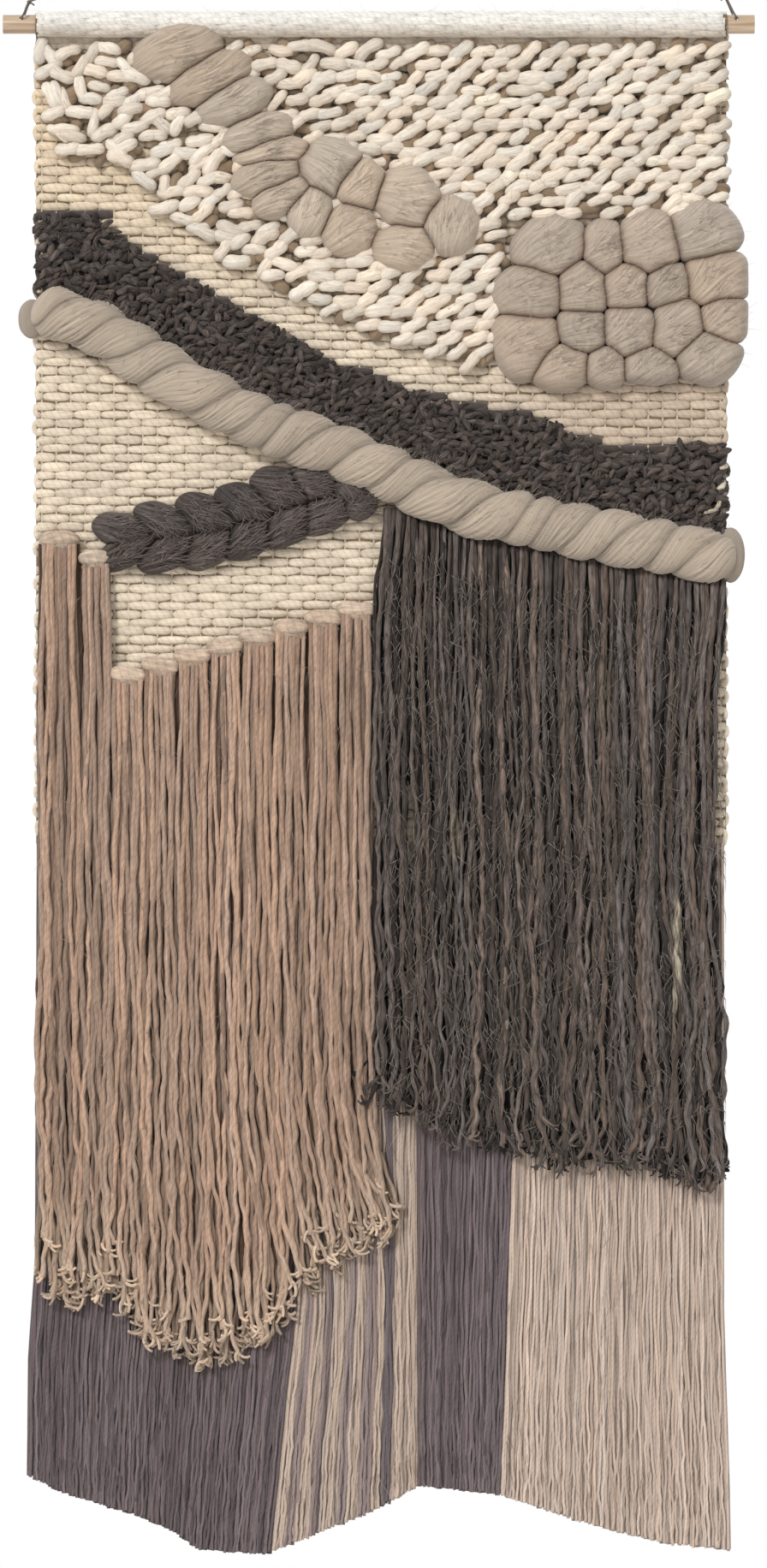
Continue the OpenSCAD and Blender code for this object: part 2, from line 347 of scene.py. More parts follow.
def fibres(along, across, seed, coarsest=9.0, finest=1.5, count=7):
    """Relief of a lay of fibres, about -1 to 1: waves across them that wander along them."""
    rng = np.random.default_rng(seed)
    total, most = 0.0, 0.0
    for k in range(count):
        wave = coarsest * (finest / coarsest) ** (k / (count - 1))
        share = (wave / coarsest) ** 0.6
        wander = rng.uniform(0.8, 1.6) * np.sin(along / rng.uniform(7, 16) + rng.uniform(0, TURN))
        swell = 0.6 + 0.4 * np.sin(along / rng.uniform(12, 30) + rng.uniform(0, TURN))
        total = total + share * swell * np.sin(TURN * across / wave + wander + rng.uniform(0, TURN))
        most += share
    return total * 1.6 / most


def varied(rng, colour, count, spread=0.08, warmth=0.02):
    """count dyes about a colour, each a little lighter or darker and a little warmer or cooler."""
    light = 1 + spread * rng.standard_normal((count, 1)).clip(-2, 2)
    warm = warmth * rng.standard_normal((count, 1)).clip(-2, 2)
    return np.clip(colour * light * (1 + warm * np.array([1, 0, -1])), 0.004, 1)


def place_mesh(mesh, slot, body, dye, yarn):
    """Paints a mesh with its slot's material, and makes it a piece that rides on a body."""
    # The colour attribute holds each yarn's dye together with the light and shade painted into it.
    colour = np.ones((len(dye), 4), np.float32)
    colour[:, :3] = dye
    mesh.attributes.new("dye", "FLOAT_COLOR", "POINT").data.foreach_set("color", colour.ravel())
    place = mesh.attributes.new("yarn", "FLOAT_VECTOR", "POINT")
    place.data.foreach_set("vector", yarn.astype(np.float32).ravel())
    mesh.materials.append(MATERIALS[slot])
    made = add_object(mesh.name, mesh)
    if body:
        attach(made, body)
    return made


def brick_grid(left, top, pitch_x, pitch_z, rows, columns):
    """Places in rows, each of them half a pitch to the side of the row above."""
    row, column = np.meshgrid(np.arange(rows), np.arange(columns), indexing="ij")
    return (left + pitch_x * (column + 0.5 * (row % 2))).ravel(), (top - pitch_z * row).ravel()


def turned_axes(x, z, turn):
    """How far each place is along and across a direction at an angle turn."""
    return x * math.cos(turn) + z * math.sin(turn), z * math.cos(turn) - x * math.sin(turn)


def short_yarns(x, y, z, slant, run, bow):
    """Paths of short yarns about (x, z): at depths y, run along their slant and bow across it."""
    cos, sin = np.cos(slant)[:, None], np.sin(slant)[:, None]
    return np.stack([x[:, None] + run * cos - bow * sin, y, z[:, None] + run * sin + bow * cos], 2)


class Shape:
    """Collects the skins of one piece: points, faces, colour with its painted light and shade, and where each
    point is on its yarn.
    """

    def __init__(self):
        self.points, self.faces, self.tips, self.dye, self.yarn = [], [], [], [], []
        self.size = 0

    def skins(self, rings, dye, yarn):
        """Adds closed skins: rings is (skins, rings, corners, 3), and each end closes in a pole.

        Corners run anticlockwise about the direction in which the rings follow one another.
        """
        count, long, sides, _ = rings.shape
        dye = np.broadcast_to(dye, rings.shape)
        yarn = np.broadcast_to(yarn, rings.shape)
        for store, value in ((self.points, rings), (self.dye, dye), (self.yarn, yarn)):
            store.append(value.reshape(-1, 3))
            store.append(value[:, [0, -1]].mean(axis=2).reshape(-1, 3))
        index = self.size + np.arange(count * long * sides).reshape(count, long, sides)
        after = np.roll(index, -1, axis=2)
        quads = np.stack([index[:, :-1], after[:, :-1], after[:, 1:], index[:, 1:]], -1)
        self.faces.append(quads.reshape(-1, 4))
        poles = self.size + count * long * sides + np.arange(count * 2).reshape(count, 2, 1)
        first = np.broadcast_to(poles[:, 0], (count, sides))
        last = np.broadcast_to(poles[:, 1], (count, sides))
        self.tips.append(np.stack([first, after[:, 0], index[:, 0]], -1).reshape(-1, 3))
        self.tips.append(np.stack([last, index[:, -1], after[:, -1]], -1).reshape(-1, 3))
        self.size += count * (long * sides + 2)

    def tubes(self, path, wide, deep, dye, out=(0, -1, 0), sides=8, start=None):
        """Adds yarns along path (yarns, rings, 3): deep is their half size towards out.

        wide and deep are for each yarn and ring, and also for each corner if they have three axes.
        start shifts the fibres of each yarn along it, in metres, so that no two yarns look the same.
        """
        path = np.asarray(path, float)
        count, long, _ = path.shape
        along = unit(np.gradient(path, axis=1))
        side = unit(np.cross(np.broadcast_to(out, path.shape), along))
        face = np.cross(along, side)
        angle = np.arange(sides) * TURN / sides
        wide, deep = (size[..., None] if np.ndim(size) == 3
                      else np.broadcast_to(size, (count, long))[..., None, None] for size in (wide, deep))
        rings = (path[:, :, None] + side[:, :, None] * wide * np.cos(angle)[:, None]
                 + face[:, :, None] * deep * np.sin(angle)[:, None])
        far = distance_along(path) * MM
        if start is not None:
            far = far + np.asarray(start)[:, None]
        yarn = np.empty(rings.shape)
        yarn[..., 0] = far[:, :, None]
        yarn[..., 1] = np.cos(angle)
        yarn[..., 2] = np.sin(angle)
        dye = np.asarray(dye, float)
        if dye.ndim == 2:
            dye = dye[:, None]
        if dye.ndim == 3:
            dye = dye[:, :, None]
        self.skins(rings, dye, yarn)

    def tube(self, path, wide, deep, dye, **how):
        """Adds one yarn, like tubes, but without an axis for the yarns."""
        self.tubes(path[None], wide[None], deep[None], dye[None], **how)

    def piece(self, name, slot, body, replaced=None):
        """Makes the mesh, with its slot's material, on its CAD body and for the node it replaces."""
        points = np.vstack(self.points) * MM + DOWEL_MIDDLE
        quads, tips = np.vstack(self.faces), np.vstack(self.tips)
        corners = np.concatenate([quads.ravel(), tips.ravel()]).astype(np.int32)
        starts = np.concatenate([np.arange(len(quads)) * 4,
                                 len(quads) * 4 + np.arange(len(tips)) * 3]).astype(np.int32)
        mesh = bpy.data.meshes.new(name)
        mesh.vertices.add(len(points))
        mesh.vertices.foreach_set("co", points.astype(np.float32).ravel())
        mesh.loops.add(len(corners))
        mesh.loops.foreach_set("vertex_index", corners)
        mesh.polygons.add(len(starts))
        mesh.polygons.foreach_set("loop_start", starts)
        mesh.update(calc_edges=True)
        mesh.polygons.foreach_set("use_smooth", np.ones(len(starts), bool))
        made = place_mesh(mesh, slot, body, np.vstack(self.dye), np.vstack(self.yarn))
        if replaced:
            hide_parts(replaced)
        return made


def hairs(shape, rng, roots, heading, length, thick, dye, lift, curl=0.5, edge=40.0):
    """Stray fibres that leave the surface at roots (n, 3), heading along unit vectors.

    lift is how far they stand off it, and none goes further than edge beyond the cloth's sides.
    """
    count = len(roots)
    t = np.linspace(0, 1, 6)[None, :, None]
    length = rng.uniform(0.5, 1.0, (count, 1, 1)) * length
    sway = rng.normal(0, curl, (count, 1, 3)) * np.array([1, 0.3, 1])
    out = np.array([0, -1, 0]) * rng.uniform(0.2, 1.0, (count, 1, 1)) * lift
    path = (roots[:, None] + heading[:, None] * length * t
            + sway * length * 0.35 * t ** 2 + out * np.sin(math.pi * t * 0.85))
    path[..., 0] = np.clip(path[..., 0], LEFT - edge, RIGHT + edge)
    size = thick * (1 - 0.7 * t[..., 0])
    shape.tubes(path, size, size, dye, sides=3)


# ---------------------------------------------------------------- cord and dowel

# The cord's route in the row frame, from the middle of the left hole to the middle of the right
CORD_ROUTE = [
    (-0.361, 0, -0.1265), (-0.361, -0.006, -0.1265), (-0.3605, -0.0098, -0.1257),
    (-0.3592, -0.0118, -0.1234), (-0.3576, -0.0112, -0.12), (-0.356, -0.0074, -0.1146),
    (-0.3535, -0.0026, -0.1098), (-0.346, 0, -0.1064), (-0.3, 0, -0.0924), (-0.24, 0, -0.0738),
    (-0.18, 0, -0.0552), (-0.12, 0, -0.0366), (-0.06, 0, -0.018), (-0.022, 0, -0.0062),
    (-0.009, 0, -0.0024), (-0.003, 0, -0.0004), (0.003, 0, -0.0004), (0.009, 0, -0.0024),
    (0.022, 0, -0.0061), (0.06, 0, -0.0171), (0.12, 0, -0.0345), (0.18, 0, -0.0519),
    (0.24, 0, -0.0693), (0.3, 0, -0.0867), (0.341, 0, -0.0986), (0.3495, -0.0024, -0.103),
    (0.3544, -0.007, -0.112), (0.3578, -0.011, -0.1196), (0.3598, -0.0118, -0.1234),
    (0.3611, -0.0098, -0.1257), (0.3615, -0.006, -0.1265), (0.3615, 0, -0.1265)]
CORD_DIAMETER = 0.002
CORD_STRANDS = 3
CORD_LAY = 7.0  # millimetres in which the strands turn once
LEFT_LOOP = [
    (-353.5, 1.6, 22), (-356, 6.6, 17.4), (-358, 10.2, 12.4), (-359.6, 11.4, 8.8),
    (-360.6, 9.8, 6.4), (-361, 6, 5.5), (-361, 0.2, 5.5)]
RIGHT_LOOP = [
    (349.5, 1.6, 29), (353.4, 5.4, 21.6), (357, 9.6, 14), (359.5, 11.4, 8.8),
    (361.1, 9.8, 6.4), (361.5, 6, 5.5), (361.5, 0.2, 5.5)]
LEFT_KNOT, RIGHT_KNOT = (-353.5, -0.6, 22.6), (349.5, -0.6, 29.4)
LEFT_TAIL = [(-352.4, -2, 21.8), (-350.4, -3.4, 20.6), (-348.4, -4, 18.8)]
RIGHT_TAIL = [(348.4, -2, 28.4), (347, -3.4, 26.4), (346.4, -4, 23.6)]


def twisted_line(shape, line, radius):
    """A laid cord along a line in millimetres, with a ridge for each of its strands."""
    angle = np.arange(12) * TURN / 12
    ridge = np.cos(CORD_STRANDS * (angle - TURN * distance_along(line)[:, None] / CORD_LAY))
    size = radius * (0.9 + 0.12 * ridge)
    # Painted shade: each strand's ridge is lighter and the grooves between the strands darker.
    tone = (0.75 + 0.25 * ridge)[..., None]
    shape.tube(line, size, size, CORD_GREY * tone, out=(-0.3, -0.9, 0.3), sides=12)


def hanging_cord():
    """The cord from hole to hole and its two hitches."""
    route = smooth_line(CORD_ROUTE, 1100)
    shape = Shape()
    twisted_line(shape, (route - DOWEL_MIDDLE) / MM, CORD_DIAMETER / 2 / MM)
    cord = shape.piece("hanging_cord", "cord", "hanger", "hanger_cord")
    hitches = [hitch("left", LEFT_KNOT, LEFT_LOOP, LEFT_TAIL),
               hitch("right", RIGHT_KNOT, RIGHT_LOOP, RIGHT_TAIL)]


def hitch(side, knot, loop, tail):
    """The knot, the rear half of its loop and its short tail."""
    shape = Shape()
    twisted_line(shape, smooth_line(loop, 50), 1.0)
    twisted_line(shape, smooth_line(tail, 16), 0.9)
    t = np.linspace(0, TURN * 2.2, 70)
    coil = np.stack([1.5 * np.cos(t), 1.5 * np.sin(t), 2.6 * (t / t[-1] - 0.5)], 1)
    twisted_line(shape, coil + np.array(knot), 1.0)
    return shape.piece("cord_hitch_" + side, "cord", "hanger", "hanger_hitch_" + side)


hanging_cord()
dowel_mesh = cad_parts["dowel"].data
dowel_mesh.materials.clear()
dowel_mesh.materials.append(MATERIALS["dowel_wood"])

# ---------------------------------------------------------------- woven cloth

WARPS = 48
WARP_PITCH = (RIGHT - LEFT) / WARPS
WEFT_PITCH = 8.8
BRICK = 2 * WARP_PITCH  # a float of the weft: over one warp, with its ends under the two beside it
CORE_Y = 10.9
CORE_THICK = 0.0003  # metres
SEAM_Z = -7.0
SLEEVE_R = 11.4
SLEEVE_STEP = 33  # degrees from one row of the sleeve to the next
# Where a float of the weft has its rings, from one of its ends at -1 to the other at 1
FLOAT_STEPS = np.array([-1.0, -0.95, -0.86, -0.62, -0.2, 0.2, 0.62, 0.86, 0.95])
BAND_OUTLINE = [
    (-347, -190), (-276, -190), (-254, -215), (-218, -240), (-150, -277), (-77, -316), (-37, -341),
    (5, -357), (74, -380), (111, -387), (175, -397), (222, -422), (239, -430), (297, -422),
    (352, -422), (352, -545), (-60, -445), (-349, -300)]


def weft_row(rng, odd, plump, thin, wave, lift):
    """One row's rings from left to right: x, half height, half depth, offset out, tone, brick middle."""
    first = LEFT + WARP_PITCH / 2 - BRICK + (WARP_PITCH if odd else 0)
    starts = first + BRICK * np.arange(26)
    ends = starts + rng.normal(0, 1.3, len(starts))
    x = (ends[:-1, None] + (ends[1:] - ends[:-1])[:, None] * (FLOAT_STEPS + 1) / 2).ravel()
    step = np.tile(FLOAT_STEPS, len(starts) - 1)
    brick = np.repeat(np.arange(len(starts) - 1), len(FLOAT_STEPS))
    skew = rng.normal(0, 0.12, len(starts))[brick]
    bulge = np.clip(1 - np.abs(step + skew * (1 - step ** 2)) ** 5, 0, 1)
    size = rng.normal(1, 0.07, len(starts))[brick]
    high = (thin + (plump - thin) * bulge) * size
    deep = 1.4 + lift * bulge
    out = wave * (1.6 * bulge - 0.8)
    # Painted shade: each float is darker towards its ends, where it dips under the warps.
    tone = rng.normal(0, 1, len(starts))[brick] - 4.5 * (1 - bulge)
    middle = (ends[:-1] + ends[1:])[brick] / 2
    keep = (x > LEFT + 1.5) & (x < RIGHT - 1.5)
    return x[keep], high[keep], deep[keep], out[keep], tone[keep], middle[keep]


def inside(x, z, outline):
    """Whether each point is inside an outline of (x, z) corners."""
    hit = np.zeros(np.shape(x), bool)
    for (ax, az), (bx, bz) in zip(outline, outline[1:] + outline[:1]):
        crosses = (az > z) != (bz > z)
        rise = np.where(bz == az, 1e-9, bz - az)
        hit ^= crosses & (x < (bx - ax) * (z - az) / rise + ax)
    return hit


def cloth_dye(x, z, tone, middle):
    """A row's colour: cream, warmer at the upper left and duller at the right, and charcoal in the band,
    scaled by tone, which holds random variation and the painted shade at the ends of each float.
    """
    across = np.clip((x - LEFT) / (RIGHT - LEFT), 0, 1)
    warm = (np.clip(1.4 - across * 3, 0, 1) * np.clip(1 + z / 330, 0, 1))[:, None]
    dull = (np.clip((x - 60) / 160, 0, 1) * np.clip((z + 470) / 40, 0, 1))[:, None]
    colour = CREAM * (1 - warm) + CREAM_WARM * warm
    colour = colour * (1 - dull) + CREAM_DULL * dull
    in_band = inside(middle, np.full_like(middle, z + 1.0), BAND_OUTLINE)
    colour = np.where(in_band[:, None], CHARCOAL * 0.85, colour)
    return np.clip(colour * (1 + 0.055 * tone[:, None]), 0.01, 1)


def flat_weft(name, rows):
    """Some rows of the cloth as one length of weft that turns back at each selvedge."""
    rng = np.random.default_rng(100 + rows[0])
    turn = np.radians([-50, 0, 50])
    parts = []
    for row in rows:
        way = -1 if row % 2 else 1
        z = SEAM_Z - WEFT_PITCH * row
        x, high, deep, out, tone, middle = weft_row(rng, row % 2, plump=4.6, thin=2.2, wave=0.7, lift=1.0)
        sway = 0.6 * np.sin(x / 61 + row * 0.8) + 0.5 * np.sin(x / 23 + row * 1.9)
        path = np.stack([x, CORE_Y - 0.15 - out, z + sway], 1)
        dye = cloth_dye(x, z, tone, middle)
        parts.append([value[::way] for value in (path, high, deep, dye)])
        if row != rows[-1]:
            turn_x = path[::way][-1, 0] + way * (1.2 + 1.6 * np.cos(turn))
            turn_z = z - WEFT_PITCH * (0.5 + 0.5 * np.sin(turn))
            path = np.stack(np.broadcast_arrays(turn_x, CORE_Y - 0.5, turn_z), 1)
            parts.append([path, np.full(3, 2.6), np.full(3, 2.2), np.repeat(dye[::way][-1:], 3, axis=0)])
    shape = Shape()
    shape.tube(*(np.concatenate(values) for values in zip(*parts)))
    return shape.piece(name, "cream_yarn", "weaving")


def warps():
    """The warp yarns, straight down behind the weft."""
    shape = Shape()
    x = LEFT + WARP_PITCH * (np.arange(WARPS)[:, None] + 0.5)
    path = np.stack(np.broadcast_arrays(x, CORE_Y, np.linspace(-6, HEM_Z + 1, 12)), 2)
    shape.tubes(path, 1.1, 1.1, np.tile(CREAM * 0.8, (WARPS, 1)), sides=6)
    return shape.piece("warp_yarns", "cream_yarn", "weaving")


def cloth_core():
    """The sheet that the yarns make: it goes up behind the dowel, over it and back to the seam."""
    hem = [(CORE_Y, z) for z in np.linspace(HEM_Z + 1, -9, 40)]
    bend = [(SLEEVE_R * math.cos(a), SLEEVE_R * math.sin(a)) for a in np.radians(np.arange(-5, 300, 12))]
    seam = [(8.6, -13), (9.6, -19)]
    line = np.array(hem + bend + seam)
    columns = np.linspace(LEFT + 1.5, RIGHT - 1.5, 48)
    points = np.array([(x, y, z) for y, z in line for x in columns])
    wide = len(columns)
    faces = [(i * wide + k, i * wide + k + 1, (i + 1) * wide + k + 1, (i + 1) * wide + k)
             for i in range(len(line) - 1) for k in range(wide - 1)]
    mesh = bpy.data.meshes.new("cloth_core")
    mesh.from_pydata(points * MM + DOWEL_MIDDLE, [], faces)
    # The core is painted dark brown as the shade between the yarns.
    core = place_mesh(mesh, "cream_yarn", "weaving", np.tile(CORE_GAP_SHADE, (len(points), 1)), points * 0.002)
    thick = core.modifiers.new("thickness", "SOLIDIFY")
    thick.thickness = CORE_THICK
    thick.offset = 0
    return core, (columns[-1] - columns[0]) * MM, distance_along(line)[-1] * MM


def sleeve():
    """The rows that wrap the dowel, the two rows of the seam below it, and their loose fibres."""
    rng = np.random.default_rng(21)
    shape = Shape()
    rows = int(300 / SLEEVE_STEP)
    for row in range(rows + 3):
        angle = math.radians(4 + min(row, rows) * SLEEVE_STEP)
        out = np.array([0, math.cos(angle), math.sin(angle)])
        x, high, deep, lift, tone, _ = weft_row(rng, row % 2, plump=4.7, thin=3.7, wave=0.4, lift=0.2)
        sway = 0.5 * np.sin(x / 17 + row) * np.sin(x / 41)
        height = (SLEEVE_R + lift + sway) * out[2]
        depth = (SLEEVE_R + lift + sway) * out[1]
        if row > rows:
            out = np.array([0, -1, 0])
            height = -8.5 - 6.5 * (row - rows) + 1.5 * sway
            depth = 5.0 + 1.0 * (row - rows) - lift
        path = np.stack(np.broadcast_arrays(x, depth, height), 1)
        # Painted shade: the lower front rows and the seam rows under the dowel blend to a darker beige.
        shade = np.clip((4 - height) / 17, 0, 1)[:, None] if out[1] < 0 else 0.0
        dye = (SLEEVE_WHITE * (1 - shade) + SLEEVE_PAINTED_SHADE * shade) * (1 + 0.03 * tone[:, None])
        shape.tube(path, high, deep + 0.1, np.clip(dye, 0.01, 1), out=out)
        if out[1] < 0.5:
            strays = 60
            pick = rng.integers(0, len(x), strays)
            heading = unit(rng.normal(0, 1, (strays, 3)) * (1, 0.2, 0.5))
            hairs(shape, rng, path[pick] + out * 2.2, heading, length=12, thick=0.16,
                  dye=np.clip(dye[pick] * 1.1, 0, 1), lift=1.0)
    return shape.piece("sleeve_weft", "cream_yarn", "weaving", "top_sleeve")


weft_rows = list(range(int((SEAM_Z - HEM_Z) / WEFT_PITCH) + 1))
third = len(weft_rows) // 3
weft = [flat_weft("weft_upper", weft_rows[:third]),
        flat_weft("weft_middle", weft_rows[third:2 * third]),
        flat_weft("weft_lower", weft_rows[2 * third:])]
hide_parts("ground_cloth")
core, core_wide, core_long = cloth_core()
woven = [*weft, warps(), sleeve()]

# ---------------------------------------------------------------- loop pile

PILE_OUTLINE = [
    (-349, -14), (356, -14), (358, -192), (124, -192), (118, -354), (-37, -296), (-167, -226),
    (-275, -140), (-346, -128)]
# Each tuft of roving: its middle, half length, half width, and tilt in degrees
LOBES = [
    (-204, -27, 43, 26, 18), (-170, -54, 42, 21, 27), (-146, -79, 37, 20, 22), (-121, -110, 36, 17, 20),
    (-108, -130, 36, 14, 10), (-115, -153, 33, 19, 20), (-100, -176, 28, 17, 28)]
PUFFS = [
    (-47, -143, 30, 27, -20), (-19, -162, 25, 24, 40), (28, -175, 31, 30, 0), (-70, -192, 24, 21, 60),
    (-30, -209, 27, 25, 35), (25, -227, 30, 22, 0), (74, -204, 29, 26, 80)]
PUFF_ROWS = [
    [(173, -224, 32, 26, 20), (228, -225, 23, 19, 90), (274, -221, 29, 28, 0), (330, -209, 34, 27, 12)],
    [(151, -273, 31, 25, 0), (206, -270, 24, 23, 90), (250, -267, 22, 21, 60), (292, -264, 22, 19, 20),
     (342, -258, 30, 25, 10)],
    [(147, -324, 33, 30, 0), (206, -311, 23, 22, 0), (253, -311, 25, 24, 0), (303, -310, 29, 24, 70),
     (350, -298, 23, 22, 0)],
    [(186, -346, 28, 20, 10), (229, -347, 20, 18, 0), (274, -345, 27, 16, 0), (331, -336, 32, 23, -10)]]
PATCH = [puff for row in PUFF_ROWS for puff in row]


def tuft_share(tuft, x, z):
    """How far out each point is in a tuft's ellipse, where 1 is its edge."""
    cx, cz, long, wide, tilt = tuft
    run, cross = turned_axes(x - cx, z - cz, math.radians(tilt))
    return np.hypot(run / long, cross / wide)


def covered(x, z):
    """Whether a loop would lie wholly under a lobe or a puff."""
    under = np.zeros(np.shape(x), bool)
    for tuft in LOBES + PUFFS + PATCH:
        under |= tuft_share(tuft, x, z) < 0.72
    return under


def loops(shape, rng, x, z, slant, size, rise, dye):
    """Blunt loops of thick yarn that come out of the cloth and go back into it."""
    count = len(x)
    t = np.array([-1.0, -0.985, -0.93, -0.82, -0.62, -0.3, 0.0, 0.3, 0.62, 0.82, 0.93, 0.985, 1.0])
    half = size * rng.uniform(0.78, 1.12, count)[:, None]
    bow = rng.normal(0, 1.5, count)[:, None] * (1 - t ** 2)
    peak = (rise + rng.normal(0, 0.9, count))[:, None]
    y = FRONT_Y - 1.0 - peak * (1 - np.abs(t) ** 5)
    path = short_yarns(x, y, z, slant, half * t, bow)
    plump = rng.normal(6.0, 0.6, count)[:, None]
    lump = 1 + 0.09 * np.sin(t * rng.uniform(3, 7, (count, 1)) + rng.uniform(0, TURN, (count, 1)))
    wide = plump * lump * np.maximum(1 - np.abs(t) ** 8, 0.02) ** 0.45
    # Painted shade: each loop darkens towards its ends, where it goes into the cloth.
    shade = 1 - 0.35 * np.abs(t) ** 6
    shape.tubes(path, wide, wide * 0.88, dye[:, None] * shade[None, :, None], sides=12,
                start=rng.uniform(0, 1, count))


def loop_pile():
    """Rows of loops, wilder towards the left, over smaller ones painted darker as shade, and their loose
    fibres.
    """
    rng = np.random.default_rng(31)
    shape = Shape()
    x, z = brick_grid(LEFT + 9, -27, 23.5, 12.6, rows=28, columns=32)
    wild = np.clip((60 - x) / 300, 0.12, 1)
    x = x + rng.normal(0, 1.5 + 3.5 * wild)
    z = z + rng.normal(0, 0.8 + 2.4 * wild)
    slant = np.radians(np.where(x > 20, 24, 14) + rng.normal(0, 8 + 24 * wild))
    keep = inside(x, z, PILE_OUTLINE) & ~covered(x, z) & (x < RIGHT - 9)
    x, z, slant = x[keep], z[keep], slant[keep]
    loops(shape, rng, x, z, slant, size=13.6, rise=9.4, dye=varied(rng, LOOP_WHITE, len(x), 0.07))
    made = shape.piece("loop_pile_yarns", "loop_yarn", "weaving", "loop_pile")
    shape = Shape()
    under_x = x + rng.uniform(6, 13, len(x))
    under_z = z + rng.uniform(-8, 8, len(x))
    keep = inside(under_x, under_z, PILE_OUTLINE) & (under_x < RIGHT - 12)
    under_x, under_z = under_x[keep], under_z[keep]
    # The loops underneath take a painted shade colour, so that the gaps between the top loops look shaded.
    loops(shape, rng, under_x, under_z, rng.normal(0.3, 0.8, len(under_x)), size=12.0, rise=3.6,
          dye=varied(rng, LOOP_PAINTED_SHADE, len(under_x)))
    count = 700
    pick = rng.integers(0, len(x), count)
    roots = np.stack([x[pick], np.full(count, PILE_Y - 2.6), z[pick]], 1)
    roots = roots + rng.normal(0, 3, (count, 3)) * (1, 0.1, 1)
    heading = unit(rng.normal(0, 1, (count, 3)) * (1, 0.2, 1))
    hairs(shape, rng, roots, heading, length=11, thick=0.16,
          dye=varied(rng, LOOP_PAINTED_SHADE * 1.4, count, 0.2), lift=1.0)
    return [made, shape.piece("loop_pile_under_yarns", "loop_yarn", "weaving")]


woven.extend(loop_pile())

# ---------------------------------------------------------------- roving puffs, lobes and braid


def tuft_reach(tuft, others, way, wobble, edge):
    """How far a tuft reaches each way before a neighbour or its own edge, and 1 where it's a neighbour."""
    cx, cz, long, wide, _ = tuft
    far = np.linspace(0, 1.1 * edge * max(long, wide), 72)[1:]
    px = cx + way[:, :1] * far
    pz = cz + way[:, 1:] * far
    # The wobble depends on the place only, so that both tufts at a crease follow the same line
    sx = px + wobble * (np.sin(pz / 7.3 + px / 19) + 0.5 * np.sin(pz / 3.9))
    sz = pz + wobble * (np.sin(px / 8.1 - pz / 23) + 0.5 * np.sin(px / 4.3))
    own = tuft_share(tuft, sx, sz)
    rival = np.full(own.shape, np.inf)
    for other in others:
        if 1 < math.hypot(other[0] - cx, other[1] - cz) < 110:
            rival = np.minimum(rival, tuft_share(other, sx, sz))
    over = np.maximum(own - rival, own - edge)
    first = np.argmax(over > 0, axis=1)
    line = np.arange(len(way))
    before, after = over[line, np.maximum(first - 1, 0)], over[line, first]
    share = np.clip(-before / np.maximum(after - before, 1e-6), 0, 1)
    start = np.where(first > 0, far[np.maximum(first - 1, 0)], 0)
    reach = start + share * (far[first] - start)
    shared = (own - rival)[line, first] > (own - edge)[line, first]
    return reach, shared.astype(float)


def rolling_mean(values, width):
    """The mean of each value and of width neighbours on both sides, round a ring."""
    return sum(np.roll(values, k) for k in range(-width, width + 1)) / (2 * width + 1)


# The tint of the painted shade in the creases between tufts.
CREASE_SHADE_TINT = np.array([0.75, 1.0, 1.25])  # creases darken less in red than in blue


def fence_reach(tuft, way, fence):
    """How far it is from a tuft's middle to the rounded box of its patch: middle and half sizes."""
    middle_x, middle_z, half_x, half_z = fence
    far = np.linspace(0, 300, 601)
    x = (tuft[0] + way[:, :1] * far - middle_x) / half_x
    z = (tuft[1] + way[:, 1:] * far - middle_z) / half_z
    return far[np.argmax(x ** 4 + z ** 4 > 1, axis=1)]


